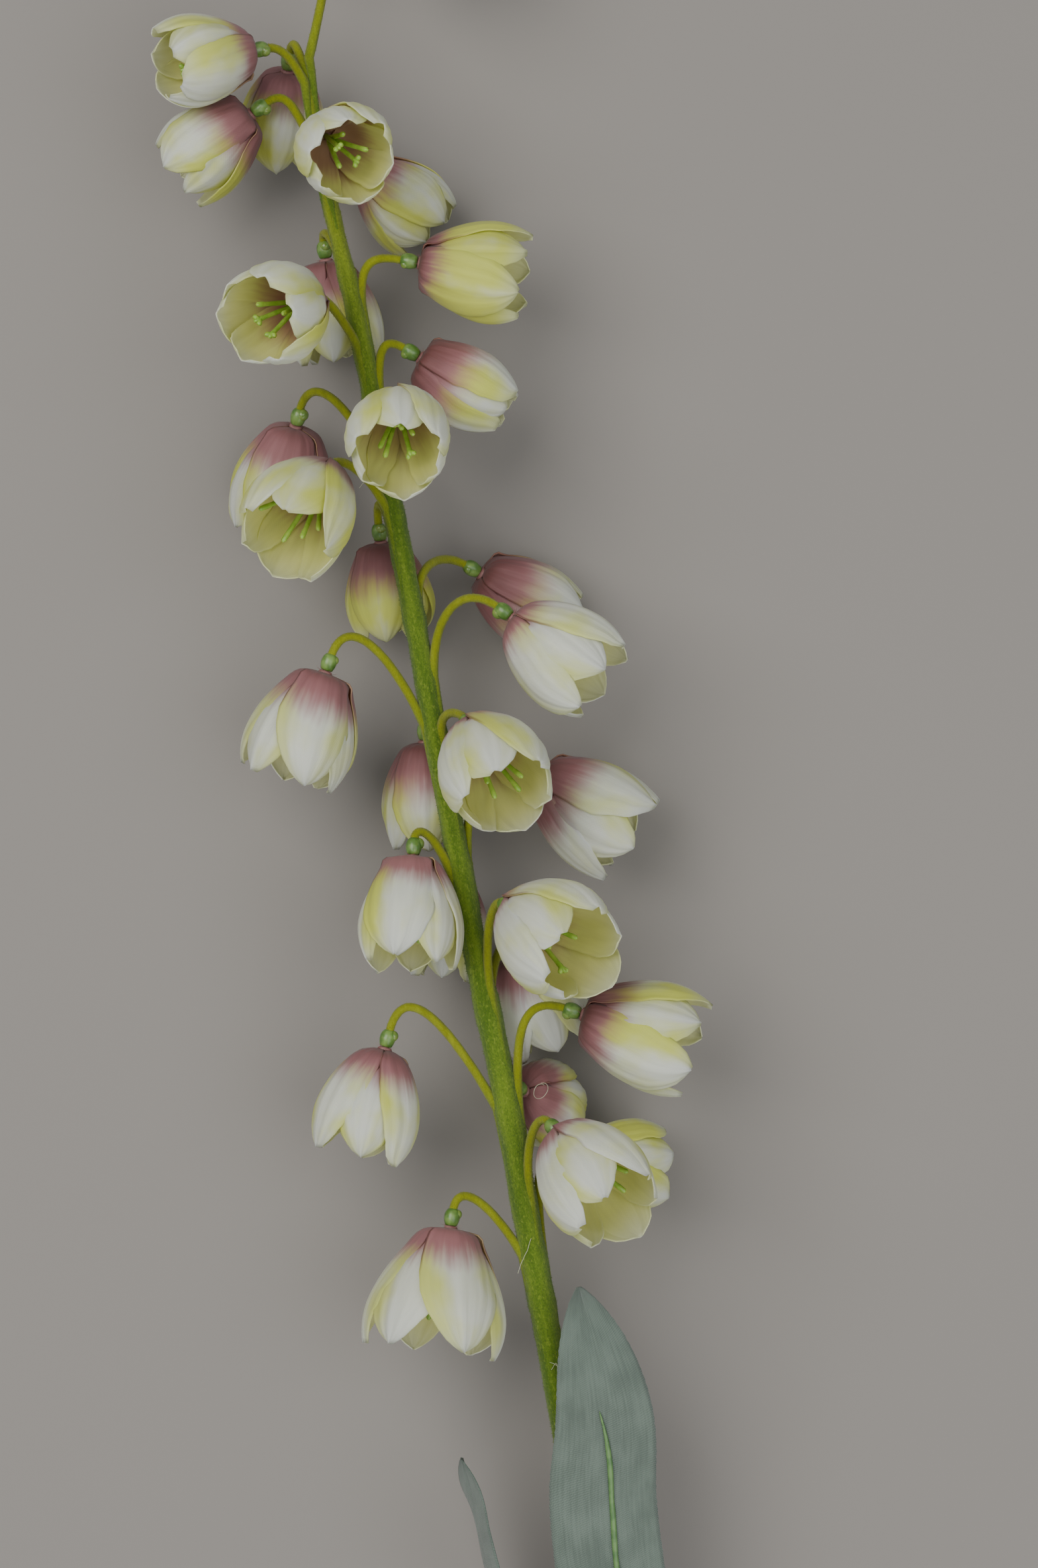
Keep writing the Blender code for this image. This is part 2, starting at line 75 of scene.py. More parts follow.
@dataclass(frozen=True)
class Bloom:
    """One bloom: its bead's place, where its bell points, its stalk and its tints.

    The aim is the bell's direction in the plane of the surface, in degrees from +X to
    +Y; the nod lifts it off that plane; the turn rolls the first outer petal. The root
    is where the stalk leaves the stem, at the angle away; rise and drop are the straight
    starts of its arch. The mauve is how far the tint reaches down the petals, the depth
    how dark it is, and the yellow how strong the margins are. A shoulder of 1 is square,
    a curl below 0 bends the petals' tips inwards, and blunt makes them round.
    """

    side: float
    along: float
    up: float
    aim: float
    nod: float
    turn: float
    root: float
    away: float
    rise: float
    drop: float
    size: float = 1.0
    flare: float = 1.0
    mauve: float = 0.3
    depth: float = 0.5
    yellow: float = 0.5
    shoulder: float = 0.5
    curl: float = 0.0
    blunt: float = 0.0

    @property
    def bead(self) -> Vector:
        """The centre of the bead."""
        return Vector((self.side, self.along, self.up))

    @property
    def axis(self) -> Vector:
        """The direction in which the bell points.

        Returns:
            The direction, one unit long.
        """
        aim, nod = math.radians(self.aim), math.radians(self.nod)
        flat = math.cos(nod)
        return Vector((flat * math.cos(aim), flat * math.sin(aim), math.sin(nod)))

    @property
    def hole(self) -> Vector:
        """The middle of the hole at the bell's neck."""
        return self.bead + self.axis * BELL_HOLE

    def matrix(self) -> np.ndarray:
        """The bell's own axes as columns: first petal, its left, and along the bell.

        Returns:
            The matrix that turns a point of the bell into the stem's axes.
        """
        axis = self.axis
        top = (UP - axis * axis.dot(UP)).normalized()
        turned = Matrix.Rotation(math.radians(self.turn), 3, axis) @ top
        return np.array([turned, axis.cross(turned), axis]).T


BLOOMS: tuple[Bloom, ...] = (
    Bloom(-9.5, 633.2, 5.5, 186, 28, -35, 624, 20, 7, 6, 0.87, 1.0, 0.27, 0.45, 0.55, 0.8, -1, 1),
    Bloom(-3.5, 631.6, -8, -111, -32, 0, 627, 15, 7, 7, 0.86, 0.92, 0.28, 0.3, 1.3, 0.6, 0),
    Bloom(-12.2, 620.2, 1, 205, -8, 10, 610, 20, 10, 8, 0.88, 1.0, 0.36, 0.42, 0.8, 0.9, -0.3),
    Bloom(1.6, 610.1, 9, -61, 60, 35, 607, 10, 8, 3, 0.9, 1.0, 0.3, 0.6, 0.75, 0.5, 0.6, 1),
    Bloom(8.1, 605.5, -14, -52, -6, -20, 594, 20, 10, 6, 0.87, 1.0, 0.34, 0.4, 0.75, 0.3, 0),
    Bloom(16.1, 577.2, 0, -21, 4, 25, 569, 8, 11, 9, 0.97, 1.0, 0.22, 1.0, 2.0, 0.6, -0.2),
    Bloom(-7.7, 571.3, 12, 202, 58, 30, 559, 25, 9, 4, 0.94, 1.0, 0.25, 0.8, 0.6, 0.5, 0.7, 1),
    Bloom(-3.7, 585.5, -13, -93, -8, 60, 578, 15, 9, 7, 0.93, 1.0, 0.4, 0.55, 0.9, 0.7, 0),
    Bloom(12.4, 555.5, 0, -42, -4, -45, 547, 8, 11, 8, 0.92, 0.7, 0.46, 1.0, 0.8, 1, -1.2, 1),
    Bloom(-17.6, 546.4, -11.17, -116, -21.0, 0, 530, 16, 17, 13, 1.0, 1.0, 0.34, 0.35, 0.6, 0.7, 0),
    Bloom(-11.5, 530.7, 12, -129, 44, -55, 519, 20, 11, 5, 1.04, 1, 0.27, 0.55, 1.2, 0.6, 0.2, 0.3),
    Bloom(7.6, 543.6, 14, -99, 55, -60, 541, 15, 8, 4, 0.96, 1.0, 0.15, 0.25, 0.6, 0.5, 0.0, 1),
    Bloom(-3.5, 515.1, -13, -94, -10, 10, 510, 15, 13, 10, 0.87, 1.0, 0.40, 0.6, 1.8, 0.9, -0.5),
    Bloom(17.0, 502.2, -15, -40, -16, -40, 495, 10, 12, 8, 0.93, 0.85, 0.47, 0.8, 0.6, 0.6, 0),
    Bloom(22.6, 489.4, 9, -48, 8, 50, 477, 10, 17, 12, 1.0, 1.0, 0.2, 0.5, 0.45, 0.2, 0.5),
    Bloom(-21.0, 485.5, 3, -120, 0, -15, 466, 14, 19, 14, 1.04, 1.05, 0.32, 0.45, 0.45, 0.8, 0),
    Bloom(-1.8, 465.1, -14, -99, -6, 0, 460, 10, 8, 5, 0.95, 0.9, 0.42, 0.8, 0.9, 0.5, 0),
    Bloom(9.1, 464.8, 12, -72, 46, 55, 462, 5, 9, 4, 1.03, 1.0, 0.2, 0.45, 0.55, 0.5, 0, 0.6),
    Bloom(21.8, 451.7, -8, -46, -4, -45, 433, 10, 20, 9, 1.05, 1.0, 0.35, 0.6, 0.5, 0.2, 0.2),
    Bloom(-9.2, 438.1, 6, -104, 14, 15, 428, 10, 13, 6, 1.0, 1.0, 0.25, 0.1, 0.6, 0.7, -0.3),
    Bloom(-1.0, 431.0, -13, -107, -4, 60, 425, 10, 9, 5, 0.92, 0.75, 0.35, 0.6, 0.5, 0.5, -0.5),
    Bloom(9.9, 420.2, 12, -42, 46, 45, 399, 5, 17, 5, 1.08, 1.0, 0.17, 0.45, 0.55, 0.3, 0.2, 0.6),
    Bloom(9.8, 409.8, -14.8, -79, -8, 60, 397, 8, 10, 4, 0.93, 1.0, 0.32, 0.4, 0.4, 0.5, 0),
    Bloom(20.7, 392.1, 4, -29, 3, 28, 371, 8, 19, 13, 1.06, 1.0, 0.3, 1.0, 0.75, 0.6, 0.5),
    Bloom(-24.2, 393.8, 2, -115, 3, 60, 372, 19, 21, 17, 1.0, 1.0, 0.27, 0.4, 0.6, 0.15, 0),
    Bloom(4.6, 375.6, -2.8, -50, -62, 0, 369, 20, 6, 3, 0.85, 1.0, 0.3, 0.6, 0.9, 0.6, -0.8),
    Bloom(11.0, 366.0, 12, -61, 38, 55, 350, 5, 14, 7, 1.05, 1.0, 0.2, 0.4, 0.8, 0.4, 0.2, 0.3),
    Bloom(12.4, 356.1, -9.6, -19, -24, 30, 327, 4, 24, 9, 0.86, 1, 0.25, 0.4, 1.0, 0.5, -0.3, 0.8),
    Bloom(-17.0, 348.7, 4, -109, 10, -22, 336, 20, 14, 10, 1.1, 1.33, 0.26, 0.1, 0.5, 0.9, 0.0),
    Bloom(29.4, 673.9, 0, -61, 5, 0, 630, 25, 26, 16, 1.0, 1.0, 0.3, 0.5, 0.5, 0.5, 0),
)


def smoothstep(value: float) -> float:
    """A step from 0 to 1 with level ends."""
    value = min(1.0, max(0.0, value))
    return value * value * (3.0 - 2.0 * value)


def spline(points: Table, place: float, column: int, key: int = 1) -> float:
    """Read one column of a table of points on a smooth curve.

    Args:
        points: the table's rows, in rising order of the key column.
        place: where to read, in the key column's units.
        column: the column to read.
        key: the column that holds the places.

    Returns:
        The curve's value, or an end's beyond the table.
    """
    places = [point[key] for point in points]
    if place <= places[0]:
        return points[0][column]
    if place >= places[-1]:
        return points[-1][column]
    index = max(i for i, known in enumerate(places) if known <= place)

    def slope(i: int) -> float:
        """The rise between a point's two neighbours."""
        low, high = max(0, i - 1), min(len(points) - 1, i + 1)
        return (points[high][column] - points[low][column]) / (places[high] - places[low])

    span = places[index + 1] - places[index]
    t = (place - places[index]) / span
    return ((2 * t**3 - 3 * t**2 + 1) * points[index][column]
            + (t**3 - 2 * t**2 + t) * span * slope(index)
            + (-2 * t**3 + 3 * t**2) * points[index + 1][column]
            + (t**3 - t**2) * span * slope(index + 1))


@dataclass
class Ground:
    """Where the stem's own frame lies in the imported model."""

    shift: Vector = field(default_factory=Vector)

    @classmethod
    def from_frame(cls, cut_end: Vector) -> "Ground":
        """Find the shift from the ring of points at the stem's cut end.

        Args:
            cut_end: the ring's centre in the stem's own frame, in millimetres.

        Returns:
            The ground, with its shift in metres.
        """
        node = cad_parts["stem"]
        points = np.array([vertex.co[:] for vertex in node.data.vertices])
        ring = points[points[:, 1] < points[:, 1].min() + 0.02 * MM]
        middle = (ring.min(axis=0) + ring.max(axis=0)) / 2
        return cls(Vector(middle) - cut_end * MM)

    def world(self, points: np.ndarray) -> np.ndarray:
        """Turn millimetres in the stem's frame into metres in the model's."""
        return np.asarray(points, dtype=float) * MM + np.array(self.shift)


def stand(name: str, data: bpy.types.ID) -> Piece:
    """Put a mesh, a light or a camera in the scene.

    Args:
        name: the object's name.
        data: what the object holds.

    Returns:
        The object.
    """
    piece = bpy.data.objects.new(name, data)
    bpy.context.scene.collection.objects.link(piece)
    return piece


def note(mesh: bpy.types.Mesh, **columns: object) -> None:
    """Hold numbers at the points of a mesh, each column under its name."""
    for key, values in columns.items():
        mesh.attributes.new(key, "FLOAT", "POINT").data.foreach_set("value", values)


class Signal:
    """A number that a node gives out; plain arithmetic on it adds Math nodes."""

    def __init__(self, nodes: "Nodes", socket: Socket) -> None:
        """Keep the socket and the nodes that it belongs to."""
        self.nodes, self.socket = nodes, socket

    def __add__(self, other: object) -> "Signal":
        """The sum with a number or another signal."""
        return self.nodes.math("ADD", self, other)

    def __radd__(self, other: float) -> "Signal":
        """The sum of a number and the signal."""
        return self.nodes.math("ADD", other, self)

    def __sub__(self, other: object) -> "Signal":
        """The difference from a number or another signal."""
        return self.nodes.math("SUBTRACT", self, other)

    def __mul__(self, other: object) -> "Signal":
        """The product with a number or another signal."""
        return self.nodes.math("MULTIPLY", self, other)

    def __truediv__(self, other: object) -> "Signal":
        """The quotient by a number or another signal."""
        return self.nodes.math("DIVIDE", self, other)


class Nodes:
    """A node tree that is built in code."""

    tree: bpy.types.NodeTree

    def add(self, kind: str, settings: dict | None = None, *values: object,
            **inputs: object) -> bpy.types.Node:
        """Add a node.

        Args:
            kind: the node's type.
            settings: its properties.
            values: values, sockets or signals for its first inputs, in order.
            inputs: the same by the inputs' names, with underscores for spaces.

        Returns:
            The node.
        """
        node = self.tree.nodes.new(kind)
        for key, value in (settings or {}).items():
            setattr(node, key, value)
        for socket, value in zip(node.inputs, values):
            self.feed(socket, value)
        for key, value in inputs.items():
            self.feed(node.inputs[key.replace("_", " ")], value)
        return node

    def feed(self, socket: Socket, value: object) -> None:
        """Set a socket to a value, or link it to another socket or a signal.

        Args:
            socket: the input.
            value: what it gets.
        """
        value = value.socket if isinstance(value, Signal) else value
        if isinstance(value, Socket):
            self.tree.links.new(value, socket)
        else:
            socket.default_value = value

    def math(self, operation: str, *values: object, clamp: bool = False) -> Signal:
        """The result of a Math node on up to three values or signals."""
        settings = {"operation": operation, "use_clamp": clamp}
        return Signal(self, self.add("ShaderNodeMath", settings, *values).outputs[0])


class Shader(Nodes):
    """A material's node tree, with short ways to add the nodes that finishes need."""

    def __init__(self, name: str, roughness: float, **sockets: object) -> None:
        """Start a material.

        Args:
            name: the material's name.
            roughness: the surface's roughness.
            sockets: other inputs of the Principled shader, with underscores for spaces.
        """
        self.material = bpy.data.materials.new(name)
        self.material.use_nodes = True
        self.tree = self.material.node_tree
        self.surface = self.tree.nodes["Principled BSDF"]
        for key, value in {"Roughness": roughness, **sockets}.items():
            self.surface.inputs[key.replace("_", " ")].default_value = value

    def step(self, value: object, low: float, high: float, start: float = 0.0,
             end: float = 1.0) -> Signal:
        """A smooth step of a value, from a start at the low place to an end at the high one.

        Args:
            value: what is read.
            low: the low place.
            high: the high place.
            start: the result below the low place.
            end: the result above the high place.

        Returns:
            The result between the start and the end.
        """
        settings = {"interpolation_type": "SMOOTHSTEP"}
        node = self.add("ShaderNodeMapRange", settings, value, low, high, start, end)
        return Signal(self, node.outputs[0])

    def attribute(self, name: str) -> Signal:
        """A number that the mesh holds at its points."""
        node = self.add("ShaderNodeAttribute", {"attribute_name": name})
        return Signal(self, node.outputs["Fac"])

    def uv(self, name: str) -> tuple[Socket, Signal, Signal]:
        """A UV map as a vector, and its two numbers.

        Args:
            name: the map's name.

        Returns:
            The vector, its first number and its second.
        """
        vector = self.add("ShaderNodeUVMap", {"uv_map": name}).outputs[0]
        parts = self.add("ShaderNodeSeparateXYZ", None, vector).outputs
        return vector, Signal(self, parts[0]), Signal(self, parts[1])

    def place(self) -> Socket:
        """Object coordinates."""
        return self.add("ShaderNodeTexCoord").outputs["Object"]

    def join(self, x: object, y: object, z: object) -> Socket:
        """A vector of three numbers."""
        return self.add("ShaderNodeCombineXYZ", None, x, y, z).outputs[0]

    def stretch(self, vector: object, scale: Colour) -> Socket:
        """A vector scaled on each axis."""
        return self.add("ShaderNodeMapping", Vector=vector, Scale=scale).outputs[0]

    def noise(self, vector: object, scale: float, detail: float = 2.0) -> Signal:
        """Noise from 0 to 1."""
        node = self.add("ShaderNodeTexNoise", Vector=vector, Scale=scale, Detail=detail)
        return Signal(self, node.outputs[0])

    def blend(self, part: object, first: object, second: object, way: str = "MIX") -> Socket:
        """Mix two colours.

        Args:
            part: how much of the second colour there is.
            first: the first colour, or a socket.
            second: the second colour, or a socket.
            way: how they are mixed.

        Returns:
            The mixed colour.
        """
        node = self.add("ShaderNodeMix", {"data_type": "RGBA", "blend_type": way}, part)
        for socket, value in ((node.inputs[6], first), (node.inputs[7], second)):
            self.feed(socket, (*value, 1.0) if isinstance(value, tuple) else value)
        return node.outputs[2]

    def bump(self, height: object, distance: float, strength: float = 1.0) -> None:
        """Raise the surface by a height in the unit of the distance, in metres."""
        node = self.add("ShaderNodeBump", Height=height, Distance=distance, Strength=strength)
        self.feed(self.surface.inputs["Normal"], node.outputs[0])

    def colour(self, socket: object) -> None:
        """Link the surface's colour."""
        self.feed(self.surface.inputs["Base Color"], socket)


@dataclass(frozen=True)
class PetalSatin:
    """Pressed satin, cream with yellow margins, dusty mauve towards the bead.

    The streaks are noise with a scale each across the petal, along it and from petal to
    petal, the clouds with the last two. The wander and the drift are how far they move
    the tints' ends, as parts of the petal's length. Each tint's ends are the two places
    between which it fades.
    """

    cream: Colour = (0.80, 0.82, 0.805)
    yellow: Colour = (0.72, 0.76, 0.13)
    mauve: Colour = (0.50, 0.24, 0.25)
    dark: Colour = (0.24, 0.088, 0.08)
    inside: Colour = (0.86, 0.85, 0.34)
    throat: Colour = (0.58, 0.31, 0.22)
    cut_edge: Colour = (0.17, 0.06, 0.045)
    rim: Colour = (0.82, 0.83, 0.56)
    flat_top: float = 0.07
    pleats: float = 13.0
    relief: float = 0.35
    weave_pitch: float = 0.36
    uv_unit: float = 10.0
    streaks: Row = (3.2, 0.9, 40.0)
    clouds: Row = (2.2, 70.0)
    wander: float = 0.16
    drift: float = 0.22
    mauve_ends: Row = (0.68, 1.42)
    dark_ends: Row = (0.2, 1.05)
    yellow_ends: Row = (0.0, 0.9)
    yellow_fades: Row = (0.78, 1.0, 0.95, 0.5)
    yellow_strength: float = 1.7
    fray_ends: Row = (0.93, 0.99)
    fray_fades: Row = (0.3, 0.62, 0.75, 0.0)
    rim_ends: Row = (0.62, 1.0)
    stain_ends: Row = (0.2, 0.55)
    see_through: float = 0.5

    def make(self) -> Material:
        """Build the satin's material.

        Returns:
            The material.
        """
        sh = Shader("petal_satin", 0.52, Sheen_Weight=0.25, Sheen_Roughness=0.4)
        along, across, seed = (sh.attribute(name) for name in ("along", "across", "seed"))
        wide, long, apart = self.streaks
        streaks = sh.noise(sh.join(across * wide, along * long, seed * apart), 3.0, 4.0)
        long, apart = self.clouds
        cloud = sh.noise(sh.join(across, along * long, seed * apart), 1.3, 2.0)
        wander = (streaks - 0.5) * self.wander
        place = along + wander + (cloud - 0.5) * self.drift

        warp, weft = sh.uv("petal")[1:]
        turn = self.uv_unit * TURN / self.weave_pitch
        weave = sh.math("SINE", warp * turn) * sh.math("SINE", weft * turn)
        shade = sh.blend(sh.attribute("inside"), self.outside(sh, place, wander, cloud),
                         self.lining(sh, place))
        light = 1.0 + weave * 0.05 + (streaks - 0.5) * 0.15
        woven = sh.blend(1.0, shade, sh.join(light, light, light), "MULTIPLY")
        sh.colour(woven)

        fold = (sh.math("SINE", across * self.pleats) + streaks * 1.7) * sh.step(along, 0.0, 0.15)
        sh.bump(fold * 0.3 + weave * 0.07, self.relief * MM, 0.8)

        glow = sh.add("ShaderNodeBsdfTranslucent", Color=woven)
        both = sh.add("ShaderNodeMixShader", None, self.see_through, sh.surface.outputs[0],
                      glow.outputs[0])
        sh.feed(sh.tree.nodes["Material Output"].inputs["Surface"], both.outputs[0])
        return sh.material

    def outside(self, sh: Shader, place: Signal, wander: Signal, cloud: Signal) -> Socket:
        """Tint the petals' outer faces.

        Args:
            sh: the material.
            place: the part along the petal, moved by the streaks and the clouds.
            wander: how far the streaks move the tints' ends.
            cloud: the clouds.

        Returns:
            The colour.
        """
        along, across, yellow = (sh.attribute(name) for name in ("along", "across", "yellow"))
        edge = sh.math("ABSOLUTE", across)
        past = place / (sh.attribute("mauve") + self.flat_top)
        side = across * (sh.attribute("seed") * 2.0 - 1.0)
        spread = (yellow - 0.5) * 0.5
        margin = edge * 0.7 + side * 0.6 + (cloud - 0.5) * 1.5 + wander + spread
        sun = (sh.step(margin, *self.yellow_ends) * sh.step(along, *self.yellow_fades)
               * sh.math("MULTIPLY", yellow, self.yellow_strength, clamp=True))
        shade = sh.blend(sun, self.cream, self.yellow)
        shade = sh.blend(sh.step(past, *self.mauve_ends, 1.0, 0.0), shade, self.mauve)
        deep = sh.step(past, *self.dark_ends, 1.0, 0.0) * sh.attribute("depth")
        shade = sh.blend(deep, shade, self.dark)
        fray = sh.step(edge, *self.fray_ends) * sh.step(place, *self.fray_fades)
        return sh.blend(fray, shade, self.cut_edge)

    def lining(self, sh: Shader, place: Signal) -> Socket:
        """Tint the petals' inner faces, with a stained throat.

        Args:
            sh: the material.
            place: the part along the petal, moved by the streaks and the clouds.

        Returns:
            The colour.
        """
        towards_rim = sh.step(sh.attribute("along"), *self.rim_ends)
        shade = sh.blend(towards_rim, self.inside, self.rim)
        depth = sh.math("ADD", sh.attribute("depth") * 0.9, 0.35, clamp=True)
        stain = sh.step(place, *self.stain_ends, 1.0, 0.0) * depth
        return sh.blend(stain, shade, self.throat)


@dataclass(frozen=True)
class StemFlock:
    """Velvety flock, mottled dark and yellow green, more olive on the stalks, with painted
    highlight specks.
    """

    dark: Colour = (0.052, 0.105, 0.005)
    light: Colour = (0.125, 0.192, 0.012)
    stalk: Colour = (0.215, 0.238, 0.007)
    # Colour of the painted highlight specks.
    highlight_speck: Colour = (0.24, 0.30, 0.035)
    bright: float = 1.0
    mottle_scale: float = 520.0
    grain_scale: float = 3400.0
    speck_scale: float = 1900.0
    relief: float = 0.25

    def make(self, name: str) -> Material:
        """Build the flock's material under a name.

        Args:
            name: the material's name.

        Returns:
            The material.
        """
        sh = Shader(name, 0.9, Sheen_Weight=0.12, Sheen_Roughness=0.6, Specular_IOR_Level=0.15)
        place = sh.place()
        mottle = sh.noise(sh.stretch(place, (1.0, 0.09, 1.0)), self.mottle_scale, 4.0)
        grain = sh.noise(sh.stretch(place, (1.0, 0.6, 1.0)), self.grain_scale, 3.0)
        # Mask of the painted highlight specks.
        highlight_mask = sh.noise(sh.stretch(place, (1.0, 0.45, 1.0)), self.speck_scale, 2.0)
        mix = mottle * 0.9 + grain * 0.7
        green = sh.blend(sh.step(mix, 0.56, 1.06), self.dark, self.light)
        # Lighter yellow specks mixed into the green: painted highlights on the flock.
        green = sh.blend(sh.step(highlight_mask, 0.54, 0.76, 0.0, 0.45), green, self.highlight_speck)
        olive = sh.blend(sh.step(mix, 0.5, 1.1), tuple(0.72 * c for c in self.stalk), self.stalk)
        shade = sh.blend(sh.attribute("stalk"), green, olive)
        sh.colour(sh.blend(1.0, shade, (self.bright,) * 3, "MULTIPLY"))
        sh.bump(grain + mottle * 0.7, self.relief * MM, 0.8)
        return sh.material


@dataclass(frozen=True)
class Jade:
    """Moulded plastic like jade, slightly cloudy and glossy."""

    pale: Colour = (0.165, 0.275, 0.06)
    deep: Colour = (0.07, 0.16, 0.022)
    roughness: float = 0.36
    cloud: float = 0.25
    cloud_depth: float = 1.2
    swirl_scale: float = 480.0
    grain_scale: float = 1400.0
    relief: float = 0.06

    def make(self, name: str) -> Material:
        """Build the plastic's material under a name.

        Args:
            name: the material's name.

        Returns:
            The material.
        """
        sh = Shader(name, self.roughness, Subsurface_Weight=self.cloud,
                    Subsurface_Scale=self.cloud_depth * MM, Coat_Weight=0.2, Coat_Roughness=0.12)
        place = sh.place()
        swirl = sh.noise(place, self.swirl_scale, 3.0)
        sh.colour(sh.blend(sh.step(swirl, 0.35, 0.65), self.deep, self.pale))
        sh.bump(sh.noise(place, self.grain_scale), self.relief * MM, 0.5)
        return sh.material


@dataclass(frozen=True)
class LeafTwill:
    """Grey-green twill with darker streaks along the leaf, and a darker back face that is partly
    painted shade.
    """

    pale: Colour = (0.118, 0.157, 0.126)
    dark: Colour = (0.066, 0.092, 0.072)
    # The back face's tone, darkened as painted shade.
    back: Colour = (0.07, 0.106, 0.083)
    pitch: float = 0.62
    uv_unit: float = 100.0
    streak_stretch: Colour = (26.0, 1.6, 1.0)
    relief: float = 0.12

    def make(self) -> Material:
        """Build the twill's material.

        Returns:
            The material.
        """
        sh = Shader("leaf_twill", 0.7, Sheen_Weight=0.2, Sheen_Roughness=0.5)
        uv, warp, weft = sh.uv("leaf")
        turn = self.uv_unit * TURN / self.pitch
        warp, weft = warp * turn, weft * turn
        weave = sh.math("SINE", warp * 0.6 + weft) * sh.math("SINE", warp - weft * 0.25)
        streaks = sh.noise(sh.stretch(uv, self.streak_stretch), 6.0, 4.0)
        part = streaks * 0.5 + sh.noise(uv, 9.0, 2.0) * 0.6 + weave * 0.17
        part = sh.step(part, 0.34, 0.74)
        front = sh.blend(part, self.dark, self.pale)
        # The back face: its own twill tone, darkened as painted shade.
        shaded_back = sh.blend(part, tuple(0.75 * c for c in self.back), self.back)
        sh.colour(sh.blend(sh.attribute("inside"), front, shaded_back))
        sh.bump(weave * 0.5 + streaks * 0.6, self.relief * MM, 0.8)
        return sh.material


@dataclass(frozen=True)
class PlainFibre:
    """Thin loose fibre or dried glue of one hue with slight changes."""

    first: Colour
    second: Colour
    roughness: float = 0.6
    scale: float = 900.0

    def make(self, name: str) -> Material:
        """Build the fibre's material under a name.

        Args:
            name: the material's name.

        Returns:
            The material.
        """
        sh = Shader(name, self.roughness)
        sh.colour(sh.blend(sh.noise(sh.place(), self.scale), self.first, self.second))
        return sh.material


@dataclass(frozen=True)
class Paper:
    """Matt pale paper of the surface that the flower lies on."""

    pale: Colour = (0.235, 0.22, 0.2)
    shade: Colour = (0.218, 0.204, 0.186)
    cloud_scale: float = 3.0
    grain_scale: float = 900.0
    relief: float = 0.05

    def make(self) -> Material:
        """Build the paper's material.

        Returns:
            The material.
        """
        sh = Shader("pale_paper", 0.9, Specular_IOR_Level=0.15)
        place = sh.place()
        sh.colour(sh.blend(sh.noise(place, self.cloud_scale, 3.0), self.pale, self.shade))
        sh.bump(sh.noise(place, self.grain_scale), self.relief * MM, 0.3)
        return sh.material


class NodeTree(Nodes):
    """A Geometry Nodes tree with named inputs, built in code."""

    def __init__(self, name: str, inputs: dict[str, tuple[str, object]]) -> None:
        """Start a tree.

        Args:
            name: the tree's name.
            inputs: each input's name, with its socket type and its value.
        """
        self.tree = bpy.data.node_groups.new(name, "GeometryNodeTree")
        interface = self.tree.interface
        interface.new_socket("Geometry", in_out="INPUT", socket_type="NodeSocketGeometry")
        self.values: dict[str, object] = {}
        for key, (kind, value) in inputs.items():
            socket = interface.new_socket(key, in_out="INPUT",
                                          socket_type="NodeSocket" + kind)
            self.values[socket.identifier] = value
        interface.new_socket("Geometry", in_out="OUTPUT", socket_type="NodeSocketGeometry")
        self.start = self.add("NodeGroupInput")
        self.end = self.add("NodeGroupOutput")

    def given(self, name: str) -> Socket:
        """One of the tree's own inputs."""
        return self.start.outputs[name]

    def finish(self, geometry: Socket) -> None:
        """Realize the instances, set the material that is given as Finish and close the tree.

        Args:
            geometry: what the tree has made.
        """
        real = self.add("GeometryNodeRealizeInstances", Geometry=geometry)
        dressed = self.add("GeometryNodeSetMaterial", Geometry=real.outputs[0],
                           Material=self.given("Finish"))
        self.feed(self.end.inputs[0], dressed.outputs[0])

    def apply(self, name: str, mesh: bpy.types.Mesh) -> Piece:
        """Run the tree on a mesh.

        Args:
            name: the finished piece's name.
            mesh: what the tree works on.

        Returns:
            A plain mesh object with the result.
        """
        source = stand(name + "_source", mesh)
        modifier = source.modifiers.new("shape", "NODES")
        modifier.node_group = self.tree
        for identifier, value in self.values.items():
            modifier[identifier] = value
        evaluated = source.evaluated_get(bpy.context.evaluated_depsgraph_get())
        result = bpy.data.meshes.new_from_object(evaluated)
        result.name = name
        source.modifiers.clear()
        bpy.data.objects.remove(source, do_unlink=True)
        return stand(name, result)


@dataclass
class Path:
    """A line that a tube follows: its points and radii, and how much of a stalk it is."""

    points: list[Vector]
    radii: list[float]
    stalk: list[float] | None = None

    @classmethod
    def straight(cls, start: Vector, way: Vector, rows: Table) -> "Path":
        """A straight line from a start, with rows of how far along it and how thick."""
        return cls([start + way * reach for reach, _ in rows], [radius for _, radius in rows])

    def stalks(self) -> list[float]:
        """The part that is stalk at each point."""
        return self.stalk if self.stalk is not None else [1.0] * len(self.points)


